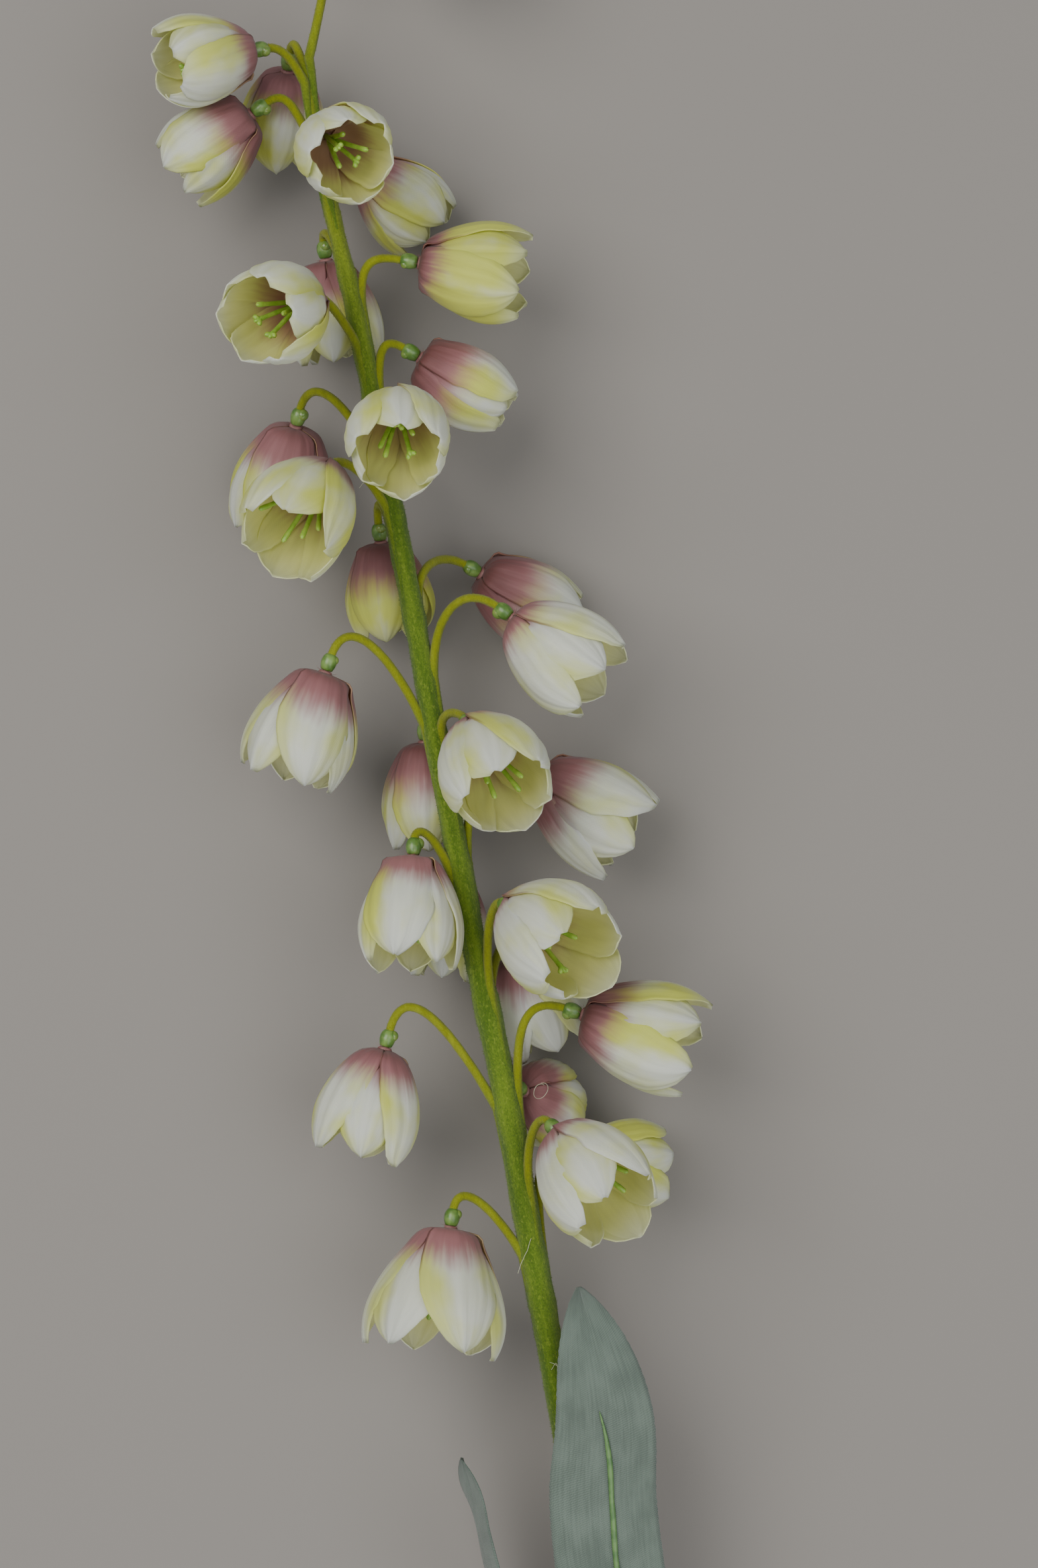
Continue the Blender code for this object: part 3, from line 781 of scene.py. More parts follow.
@dataclass
class TubeMaker:
    """Closed round tubes along paths, with small lumps."""

    ground: Ground
    sides: int = 8
    lumps: float = 0.0
    lump_scale: float = 500.0

    def make(self, name: str, paths: list[Path], material: Material) -> Piece:
        """Make one piece of tubes.

        Args:
            name: the piece's name.
            paths: the lines that the tubes follow.
            material: their finish.

        Returns:
            The piece as a plain mesh.
        """
        points, edges, radii, stalks = [], [], [], []
        for path in paths:
            first = len(points)
            points += [point[:] for point in path.points]
            edges += [(first + i, first + i + 1) for i in range(len(path.points) - 1)]
            radii += path.radii
            stalks += path.stalks()
        mesh = bpy.data.meshes.new(name + "_lines")
        mesh.from_pydata(self.ground.world(np.array(points)).tolist(), edges, [])
        note(mesh, thick=[radius * MM for radius in radii], stalk=stalks)
        return self.tree(name, material).apply(name, mesh)

    def tree(self, name: str, material: Material) -> NodeTree:
        """Build the tree that turns lines into tubes.

        Args:
            name: the piece's name.
            material: the tubes' finish.

        Returns:
            The tree, whose lines carry their radius as thick.
        """
        tree = NodeTree(name + "_tubes", {
            "Sides": ("Int", self.sides),
            "Lump height": ("Float", self.lumps * MM),
            "Lump scale": ("Float", self.lump_scale),
            "Finish": ("Material", material),
        })
        line = tree.add("GeometryNodeMeshToCurve", Mesh=tree.given("Geometry"))
        ring = tree.add("GeometryNodeCurvePrimitiveCircle", {"mode": "RADIUS"},
                        Resolution=tree.given("Sides"), Radius=1.0)
        thick = tree.add("GeometryNodeInputNamedAttribute", {"data_type": "FLOAT"}, Name="thick")
        tube = tree.add("GeometryNodeCurveToMesh", Curve=line.outputs[0],
                        Profile_Curve=ring.outputs[0], Scale=thick.outputs["Attribute"],
                        Fill_Caps=True)
        grain = tree.add("ShaderNodeTexNoise", {"noise_dimensions": "3D"},
                         Scale=tree.given("Lump scale"), Detail=2.0)
        height = (Signal(tree, grain.outputs[0]) - 0.5) * tree.given("Lump height")
        push = tree.add("ShaderNodeVectorMath", {"operation": "SCALE"},
                        tree.add("GeometryNodeInputNormal").outputs[0], Scale=height)
        moved = tree.add("GeometryNodeSetPosition", Geometry=tube.outputs[0],
                         Offset=push.outputs[0])
        tree.finish(tree.add("GeometryNodeSetShadeSmooth", Geometry=moved.outputs[0]).outputs[0])
        return tree


@dataclass
class FibreMaker:
    """Short fibres that stand on a surface, like flock or a frayed edge.

    The density is for a square millimetre. No fibre grows below the lowest level, which
    keeps them off the surface that the flower lies on.
    """

    density: float
    length: float
    width: float
    tilt: float = 0.5
    seed: int = 3
    lowest: float = 1.0
    sizes: tuple[float, float] = (0.55, 1.25)

    def make(self, name: str, mesh: bpy.types.Mesh, material: Material) -> Piece:
        """Grow the fibres on a mesh.

        Args:
            name: the piece's name.
            mesh: the surface, in metres.
            material: the fibres' finish.

        Returns:
            The fibres alone, as a plain mesh.
        """
        tree = NodeTree(name + "_fibres", {
            "Density": ("Float", self.density / MM**2),
            "Length": ("Float", self.length * MM),
            "Width": ("Float", self.width * MM),
            "Tilt": ("Float", self.tilt),
            "Seed": ("Int", self.seed),
            "Lowest": ("Float", self.lowest * MM),
            "Finish": ("Material", material),
        })
        place = tree.add("GeometryNodeInputPosition").outputs[0]
        level = tree.add("ShaderNodeSeparateXYZ", None, place).outputs[2]
        above = tree.add("FunctionNodeCompare", {"data_type": "FLOAT", "operation": "GREATER_THAN"},
                         level, tree.given("Lowest"))
        spots = tree.add("GeometryNodeDistributePointsOnFaces", {"distribute_method": "RANDOM"},
                         Mesh=tree.given("Geometry"), Selection=above.outputs[0],
                         Density=tree.given("Density"), Seed=tree.given("Seed"))
        fibre = tree.add("GeometryNodeMeshCone", {"fill_type": "NGON"}, Vertices=3,
                         Radius_Top=0.0, Radius_Bottom=tree.given("Width"),
                         Depth=tree.given("Length"))
        tilt = tree.given("Tilt")
        lean = tree.add("FunctionNodeRandomValue", {"data_type": "FLOAT_VECTOR"},
                        tree.math("MULTIPLY", tilt, -1.0), tilt, Seed=tree.given("Seed"))
        turned = tree.add("FunctionNodeRotateRotation", {"rotation_space": "LOCAL"},
                          Rotation=spots.outputs["Rotation"], Rotate_By=lean.outputs[0])
        size = tree.add("FunctionNodeRandomValue", {"data_type": "FLOAT"})
        size.inputs[2].default_value, size.inputs[3].default_value = self.sizes
        copies = tree.add("GeometryNodeInstanceOnPoints", Points=spots.outputs[0],
                          Instance=fibre.outputs[0], Rotation=turned.outputs[0],
                          Scale=size.outputs[1])
        tree.finish(copies.outputs[0])
        return tree.apply(name, mesh)


@dataclass
class MainStem:
    """The main stem, which the feet of the stalks thicken with a knuckle each.

    The line's rows hold the axis's side, its place along and the radius. The foot lies
    on the surface, and the axis rises from it by the lift.
    """

    line: Table = (
        (4.0, 0.0, 3.5), (2.2, 80.0, 3.5), (0.8, 170.0, 3.4), (0.0, 250.0, 3.35),
        (0.4, 336.0, 3.3), (1.1, 374.0, 3.25), (0.5, 413.0, 3.05), (0.8, 451.0, 2.85),
        (1.1, 490.0, 2.7), (1.1, 528.0, 2.5), (1.1, 567.0, 2.35), (0.0, 594.0, 1.9),
        (0.0, 616.0, 1.45), (0.6, 627.0, 1.3),
    )
    lift: float = 31.92
    lie_flat_to: float = 70.0
    rise_done_at: float = 250.0
    sides: int = 8
    step: float = 2.5
    knuckle: float = 0.28
    knuckle_below: float = 2.0
    knuckle_reach: float = 3.2
    slimness: float = 0.97
    foot_slimmer: float = 0.06
    foot_length: float = 30.0
    taper_from: float = 585.0
    taper_length: float = 40.0
    taper_depth: float = 0.3
    tip_length: float = 9.0
    tip_depth: float = 0.75
    olive: float = 0.6
    olive_from: float = 540.0
    olive_length: float = 70.0

    @property
    def end(self) -> float:
        """The stem's length."""
        return self.line[-1][1]

    @property
    def flat(self) -> float:
        """The part of the radius at which the solid stem's flat sides lie."""
        return math.cos(math.pi / self.sides)

    def radius(self, along: float) -> float:
        """The stem's radius without its lumps."""
        return spline(self.line, along, 2)

    def centre(self, along: float) -> Vector:
        """A point of the stem's axis.

        Args:
            along: the place along the stem.

        Returns:
            The point.
        """
        foot_level = self.line[0][2] * self.flat
        rise = (along - self.lie_flat_to) / (self.rise_done_at - self.lie_flat_to)
        sink = 1.0 - smoothstep(rise)
        return Vector((spline(self.line, along, 0), along, -(self.lift - foot_level) * sink))

    def surface_radius(self, along: float) -> float:
        """The stem's radius with a knuckle where each stalk leaves it.

        Args:
            along: the place along the stem.

        Returns:
            The radius in millimetres.
        """
        swell = sum(math.exp(-((along - bloom.root + self.knuckle_below) / self.knuckle_reach)**2)
                    for bloom in BLOOMS)
        rings = 0.05 * math.sin(along * 0.9) + 0.04 * math.sin(along * 0.37 + 1.0)
        foot = 1.0 - smoothstep((along - self.lie_flat_to) / self.foot_length)
        taper = (self.slimness - self.foot_slimmer * foot
                 - self.taper_depth * smoothstep((along - self.taper_from) / self.taper_length))
        tip = smoothstep((along - self.end + self.tip_length) / self.tip_length)
        return (self.radius(along) * taper + self.knuckle * min(1.0, swell) * taper
                + rings * 0.5) * (1.0 - self.tip_depth * tip)

    def path(self) -> Path:
        """The stem's line, from its cut end to its tip.

        Returns:
            The line, olive like a stalk towards its tip.
        """
        count = int(self.end / self.step)
        places = [self.end * i / count for i in range(count + 1)]
        radii = [self.surface_radius(place) for place in places]
        top = [self.olive * smoothstep((place - self.olive_from) / self.olive_length)
               for place in places]
        return Path([self.centre(place) for place in places], radii, top)


@dataclass
class Stalk:
    """The arched stalk of one bloom, whose foot runs down the stem as a low ridge.

    The seats are the parts of the stem's radius at which the stalk and its ridge lie.
    """

    bloom: Bloom
    stem: MainStem
    radius: float = 1.03
    seat: float = 0.78
    ridge: float = 26.0
    ridge_seat: float = 0.7
    ridge_steps: int = 8
    arch_steps: int = 24
    sunk_in_bead: float = 1.4

    def outward(self) -> Vector:
        """The direction from the stem's axis to the stalk's side of it.

        Returns:
            The direction, square to the stem.
        """
        way = self.bloom.bead - self.stem.centre(self.bloom.root)
        way.y = 0.0
        return way.normalized()

    def path(self) -> Path:
        """The stalk's line: its ridge up the stem's side and its arch to the bead.

        Returns:
            The line, with how much of a stalk each of its points is.
        """
        bloom, stem = self.bloom, self.stem
        outward = self.outward()
        upward = Vector((0.0, 1.0, 0.0))
        away = math.radians(bloom.away)
        start = stem.centre(bloom.root) + outward * stem.radius(bloom.root) * self.seat
        first = start + (upward * math.cos(away) + outward * math.sin(away)) * bloom.rise
        last = bloom.bead - bloom.axis * self.sunk_in_bead
        second = bloom.bead - bloom.axis * bloom.drop
        points, radii, stalk = [], [], []
        slim = smoothstep((bloom.root - stem.taper_from) / stem.taper_length)
        ridge = self.ridge * (1.0 - 0.45 * slim)
        for i in range(self.ridge_steps):
            part = i / self.ridge_steps
            place = bloom.root - ridge * (1.0 - part)
            seat = self.ridge_seat + (self.seat - self.ridge_seat) * part**2
            points.append(stem.centre(place) + outward * (stem.radius(place) * seat))
            radii.append(self.radius * (0.7 + 0.42 * part))
            stalk.append(0.05 + 0.5 * part**3)
        for i in range(self.arch_steps + 1):
            t = i / self.arch_steps
            points.append(start * (1 - t)**3 + first * 3 * (1 - t)**2 * t
                          + second * 3 * (1 - t) * t**2 + last * t**3)
            radii.append(self.radius * (1.06 + 0.12 * math.exp(-(t / 0.08)**2) - 0.08 * t))
            stalk.append(0.6 + 0.4 * smoothstep(t / 0.2))
        return Path(points, radii, stalk)


@dataclass
class Bead:
    """The jade cup at a bell's neck and the glossy ball beside it.

    The profile's rows hold the level along the bell's axis and the radius.
    """

    bloom: Bloom
    stem: MainStem
    profile: Table = (
        (-2.2, 0.05), (-2.12, 0.75), (-1.85, 1.3), (-1.25, 1.7), (-0.5, 1.9), (0.3, 1.93),
        (1.0, 1.8), (1.55, 1.62), (1.9, 1.5), (2.1, 1.25), (2.15, 0.75), (3.0, 0.7), (3.05, 0.05),
    )
    ball_radius: tuple[float, float] = (1.0, 1.6)
    ball_out: float = 1.1
    ball_back: float = 0.8
    ball_steps: int = 10

    def cup_path(self) -> Path:
        """The cup's line along the bell's axis."""
        return Path.straight(self.bloom.bead, self.bloom.axis, self.profile)

    def ball_path(self) -> Path:
        """The ball's line: a sphere as a short path.

        Returns:
            The line, whose radii make it round.
        """
        bloom = self.bloom
        toward = self.stem.centre(bloom.along) - bloom.bead + UP * 1.5
        toward = (toward - bloom.axis * bloom.axis.dot(toward)).normalized()
        size = random.Random(bloom.along).uniform(*self.ball_radius)
        centre = bloom.bead + toward * self.ball_out - bloom.axis * self.ball_back
        way = (bloom.axis + toward * 0.3).normalized()
        points, radii = [], []
        for i in range(self.ball_steps + 1):
            angle = math.pi * (0.02 + 0.96 * i / self.ball_steps)
            points.append(centre - way * math.cos(angle) * size)
            radii.append(math.sin(angle) * size)
        return Path(points, radii)


@dataclass
class Stamens:
    """The bunch of knobby stamens in one bell.

    The rows of the heart, from which they grow, and of a forked tip's lobe hold how far
    along it lies and how thick it is.
    """

    bloom: Bloom
    seed: int
    count: int = 5
    start: float = 4.0
    length: float = 17.5
    spread: float = 19.0
    radius: float = 0.6
    knob: float = 0.88
    knob_at: float = 0.95
    forked: float = 0.15
    heart: Table = ((0.4, 0.7), (2.5, 0.75), (5.5, 1.2), (6.6, 0.3))
    lobe: Table = ((0.0, 0.5), (0.9, 0.55), (1.8, 0.66), (2.2, 0.2))
    steps: int = 11
    first_seed: int = 700

    def paths(self) -> list[Path]:
        """The lines of the stamens, each with a knob, and some with two short lobes.

        Returns:
            The lines, the heart's first.
        """
        rng = random.Random(self.first_seed + self.seed)
        bloom = self.bloom
        axes = bloom.matrix()
        axis, hole = bloom.axis, bloom.hole
        paths = [Path.straight(hole, axis, self.heart)]
        for k in range(self.count):
            angle = TURN * (k + rng.uniform(-0.38, 0.38)) / self.count
            outward = Vector(axes[:, 0]) * math.cos(angle) + Vector(axes[:, 1]) * math.sin(angle)
            lean = math.radians(self.spread + rng.uniform(-10.0, 7.0))
            long = self.length * bloom.size * rng.uniform(0.78, 1.08)
            base = hole + axis * self.start + outward * 0.5
            way = axis * math.cos(lean) + outward * math.sin(lean)
            bow = outward * rng.uniform(-0.8, 1.6)
            points, radii = [], []
            for i in range(self.steps + 1):
                t = i / self.steps
                points.append(base + way * long * t + bow * t * t)
                bulb = 0.8 * math.exp(-((t - self.knob_at) / 0.05)**2)
                radii.append(self.radius * (1.15 - 0.25 * t) + (self.knob - self.radius) * bulb)
            points.append(points[-1] + way * 0.45)
            radii.append(0.25)
            paths.append(Path(points, radii))
            across = way.cross(outward).normalized()
            for sign in ((-1.0, 1.0) if rng.random() < self.forked else ()):
                sideways = across * sign * rng.uniform(0.5, 0.9)
                fork = (way + sideways + outward * rng.uniform(-0.4, 0.4)).normalized()
                paths.append(Path.straight(points[-3], fork, self.lobe))
        return paths


@dataclass
class Petal:
    """One pressed petal of a bell, as a thin pleated shell.

    The profiles' rows hold the middle line's radius and level, the outline's rows the
    part along the petal and the half width. The ranges are what each petal's changes are
    drawn from. The tip starts at tip_from, and the neck is the radius of the bell's hole.
    """

    bloom: Bloom
    layer: Layer
    centre: float
    seed: int
    thickness: float = 0.28
    rows: int = 26
    columns: int = 28
    neck: float = 2.2
    full_length: float = 27.0
    whorl_offset: float = 0.5
    inner_width: float = 0.93
    bluntness: float = 2.6
    tip_from: float = 0.6
    jag: float = 0.13
    pleat: float = 0.1
    length_range: tuple[float, float] = (-0.035, 0.02)
    width_range: tuple[float, float] = (-0.07, 0.05)
    skew_range: tuple[float, float] = (-2.0, 2.0)
    crease_range: tuple[float, float] = (0.5, 1.5)
    keel_range: tuple[float, float] = (0.05, 0.3)
    fold_counts: Row = (5.0, 6.0, 7.0, 8.0)
    phase_range: tuple[float, float] = (0.0, 6.28)
    wave_range: tuple[float, float] = (0.1, 0.45)
    wave_counts: tuple[float, float] = (0.8, 1.6)
    curl_range: tuple[float, float] = (-0.9, 0.5)
    pinch_range: tuple[float, float] = (0.2, 0.9)
    round_profile: Table = (
        (1.15, 0.3), (2.0, 0.4), (3.2, 0.75), (4.5, 1.5), (6.0, 2.75), (7.6, 4.6), (9.3, 7.2),
        (11.0, 10.8), (12.1, 14.6), (12.6, 18.2), (12.4, 21.8), (11.8, 24.6), (11.0, 27.0),
    )
    square_profile: Table = (
        (1.15, 0.3), (2.4, 0.35), (3.9, 0.5), (5.4, 0.95), (6.7, 2.1), (7.9, 4.2), (9.4, 7.0),
        (11.0, 10.7), (12.1, 14.6), (12.6, 18.2), (12.4, 21.8), (11.8, 24.6), (11.0, 27.0),
    )
    outline: Table = (
        (0.0, 1.3), (0.05, 2.7), (0.1, 4.8), (0.15, 6.5), (0.2, 7.7), (0.28, 8.9), (0.38, 9.9),
        (0.5, 10.5), (0.62, 10.3), (0.74, 9.2), (0.85, 6.9), (0.93, 4.3), (0.98, 1.9), (1.0, 0.3),
    )

    def places(self) -> np.ndarray:
        """The parts along the petal at which its rows lie, closer towards the tip."""
        return np.linspace(0.0, 1.0, self.rows + 1)**0.92

    def meridian(self) -> tuple[np.ndarray, np.ndarray]:
        """The petal's middle line.

        Returns:
            The radius and the level at each row.
        """
        part = self.bloom.shoulder
        table = np.array(self.round_profile) * (1.0 - part) + np.array(self.square_profile) * part
        steps = np.concatenate([[0.0], np.cumsum(np.hypot(*np.diff(table, axis=0).T))])
        parts = (steps / steps[-1]).tolist()
        rows = tuple((r, z, s) for (r, z), s in zip(table.tolist(), parts))
        radius, level = (np.array([spline(rows, place, column, 2) for place in self.places()])
                         for column in (0, 1))
        return radius, level

    def half_widths(self, rng: random.Random, places: np.ndarray) -> list[np.ndarray]:
        """The angular outline's half widths.

        Args:
            rng: what their changes are drawn from.
            places: the parts along the petal.

        Returns:
            The half widths to the left and to the right of the midline.
        """
        knots = np.array([row[0] for row in self.outline])
        sides = []
        for _ in range(2):
            widths = [width * (1.0 + (rng.uniform(*self.width_range) if knot > 0.45 else 0.0))
                      + self.bloom.blunt * self.bluntness * max(0.0, 1.0 - abs(knot - 0.94) / 0.3)
                      for knot, width in self.outline]
            sides.append(np.interp(places, knots, widths) * self.bloom.size)
        return sides

    def grid(self) -> tuple[np.ndarray, np.ndarray, np.ndarray]:
        """The petal's middle surface.

        Returns:
            Points in the bell's own axes, and the parts along and across the petal.
        """
        rng = random.Random(self.seed)
        bloom, outer = self.bloom, self.layer is Layer.OUTER
        u = self.places()
        s = np.linspace(-1.0, 1.0, self.columns + 1)
        radius, level = self.meridian()
        length = level / self.full_length
        radius = radius * (1.0 + (bloom.flare - 1.0) * length**1.2) * bloom.size
        level = level * bloom.size
        out = np.clip((radius - self.neck) / 3.0, 0.0, 1.0)
        radius = radius + self.layer.value * self.whorl_offset * out
        if not outer:
            level = level + 1.0 * (1.0 - length)**6
        level = level * (1.0 + rng.uniform(*self.length_range) * length)

        left, right = self.half_widths(rng, u)
        rough = np.array([rng.uniform(-1.0, 1.0) for _ in u]) * self.jag
        rough = rough * np.clip(u * 3.0 - 1.2, 0.0, 1.0)
        skew = rng.uniform(*self.skew_range)
        tip = np.clip((u - self.tip_from) / (1.0 - self.tip_from), 0.0, 1.0)
        grid_u, grid_s = np.meshgrid(u, s, indexing="ij")
        side = np.abs(grid_s)
        reach = np.where(grid_s < 0.0, left[:, None], right[:, None]) * grid_s
        reach = reach * (1.0 if outer else self.inner_width)
        reach = reach + skew * (tip**2)[:, None] + rough[:, None] * np.sign(grid_s) * side**6
        angle = self.centre + reach / np.maximum(radius, self.neck)[:, None]

        bow = np.sin(math.pi * np.clip(u, 0.0, 1.0))[:, None]
        cup = (0.2 + 0.7 * bow**1.3) * grid_s**2
        crease = rng.uniform(*self.crease_range) * (tip**1.3)[:, None]
        crease = crease * (np.sqrt(grid_s**2 + 0.006) - 0.077)
        keel = rng.uniform(*self.keel_range) * np.exp(-(grid_s / 0.16)**2) * bow
        folds = rng.choice(self.fold_counts)
        phase = rng.uniform(*self.phase_range)
        phase = phase + 1.2 * np.sin(5.0 * grid_u + rng.uniform(*self.phase_range))
        pleat = self.pleat * np.sin(folds * math.pi * grid_s + phase) * bow**0.5
        wave = rng.uniform(*self.wave_range)
        wave = wave * np.sin(TURN * (rng.uniform(*self.wave_counts) * grid_u + rng.random()))
        pinwheel = (0.42 if outer else 0.2) * grid_s * np.clip(u * 8.0, 0.0, 1.0)[:, None]
        curl = rng.uniform(*self.curl_range) + bloom.curl * (0.6 if outer else 1.3)
        pinch = np.exp(-((u - 0.16) / 0.05)**2)[:, None] * side**5 * rng.uniform(*self.pinch_range)
        pinch = pinch * (1.0 if outer else 0.0)
        radial = (radius[:, None] - cup - crease + keel + pleat + pinwheel
                  + curl * (tip**2)[:, None]
                  + wave * side**3 * np.clip(grid_u * 2.0 - 0.5, 0.0, 1.0) + pinch)
        height = level[:, None] - 0.6 * pinch
        points = np.stack([radial * np.cos(angle), radial * np.sin(angle), height], axis=-1)
        return points, grid_u, grid_s


@dataclass
class Shell:
    """The points and faces of a closed thin shell, its outer sheet before its inner one."""

    points: np.ndarray
    faces: np.ndarray

    @classmethod
    def thin(cls, grid: np.ndarray, thickness: float) -> "Shell":
        """Close a grid of points into a thin shell with a rim.

        Args:
            grid: rows and columns of points.
            thickness: the shell's thickness in the grid's unit.

        Returns:
            The shell.
        """
        normal = np.cross(np.gradient(grid, axis=1), np.gradient(grid, axis=0))
        normal /= np.maximum(np.linalg.norm(normal, axis=-1, keepdims=True), 1e-9)
        outer = grid + normal * thickness / 2
        inner = grid - normal * thickness / 2
        rows, columns = grid.shape[:2]
        count = rows * columns
        index = np.arange(count).reshape(rows, columns)
        a, b = index[:-1, :-1].ravel(), index[:-1, 1:].ravel()
        c, d = index[1:, 1:].ravel(), index[1:, :-1].ravel()
        front = np.stack([a, b, c, d], axis=1)
        back = np.stack([a, d, c, b], axis=1) + count
        rim = np.concatenate([index[0, :], index[1:, -1], index[-1, -2::-1], index[-2:0:-1, 0]])
        after = np.roll(rim, -1)
        wall = np.stack([after, rim, rim + count, after + count], axis=1)
        return cls(np.concatenate([outer.reshape(-1, 3), inner.reshape(-1, 3)]),
                   np.concatenate([front, back, wall]))

    def inside(self) -> np.ndarray:
        """The numbers 0 for the outer sheet's points and 1 for the inner one's."""
        half = len(self.points) // 2
        return np.concatenate([np.zeros(half), np.ones(half)])


def fabric(name: str, points: np.ndarray, faces: np.ndarray, uv: tuple[str, np.ndarray, np.ndarray],
           finish: Material) -> Piece:
    """Stand a piece of cloth in the scene.

    Args:
        name: the piece's name.
        points: its points in the model's metres.
        faces: its faces.
        uv: the UV map's name and its two numbers at each point.
        finish: its material.

    Returns:
        The piece, smoothly shaded.
    """
    mesh = bpy.data.meshes.new(name)
    mesh.from_pydata(points.tolist(), [], faces.tolist())
    corners = np.empty(len(mesh.loops), dtype=np.int32)
    mesh.loops.foreach_get("vertex_index", corners)
    flat = np.stack([uv[1][corners], uv[2][corners]], axis=1).ravel()
    mesh.uv_layers.new(name=uv[0]).data.foreach_set("uv", flat)
    mesh.shade_smooth()
    mesh.materials.append(finish)
    return stand(name, mesh)


@dataclass
class Bell:
    """A whole bell: three outer and three inner petals round a frayed neck.

    The cloth's width and length are what a petal's half width and length span in the
    UV map, in its unit of ten millimetres.
    """

    number: int
    bloom: Bloom
    ground: Ground
    finish: Material
    cloth_width: float = 9.0
    cloth_length: float = 31.0
    cloth_unit: float = 10.0
    first_seed: int = 5000

    def petals(self) -> list[Petal]:
        """The six petals, outer and inner by turns.

        Returns:
            The petals, each with its own seed.
        """
        layers = (Layer.OUTER, Layer.INNER) * 3
        return [Petal(self.bloom, layer, math.pi * k / 3.0, self.number * 10 + k)
                for k, layer in enumerate(layers)]

    def make(self) -> Piece:
        """Build the bell, with the parts along and across each petal as attributes.

        Returns:
            The bell as one mesh.
        """
        points, faces, total = [], [], 0
        columns: dict[str, list[np.ndarray]] = {}
        for petal in self.petals():
            grid, along, across = petal.grid()
            shell = Shell.thin(grid, petal.thickness)
            size = len(shell.points)
            points.append(shell.points)
            faces.append(shell.faces + total)
            total += size
            drawn = random.Random(petal.seed + self.first_seed).random()
            lateral = across * self.cloth_width * self.bloom.size / self.cloth_unit
            lengthwise = along * self.cloth_length * self.bloom.size / self.cloth_unit
            for key, values in (
                    ("along", np.tile(along.ravel(), 2)), ("across", np.tile(across.ravel(), 2)),
                    ("seed", np.full(size, drawn)), ("inside", shell.inside()),
                    ("u", np.tile(lateral.ravel(), 2)), ("v", np.tile(lengthwise.ravel(), 2))):
                columns.setdefault(key, []).append(values)
        data = {key: np.concatenate(values) for key, values in columns.items()}
        placed = np.concatenate(points) @ self.bloom.matrix().T + np.array(self.bloom.hole)
        uv = ("petal", data.pop("u"), data.pop("v"))
        piece = fabric(f"bell_{self.number:02d}", self.ground.world(placed),
                       np.concatenate(faces), uv, self.finish)
        tints = {key: np.full(total, getattr(self.bloom, key))
                 for key in ("mauve", "depth", "yellow")}
        note(piece.data, **data, **tints)
        return piece


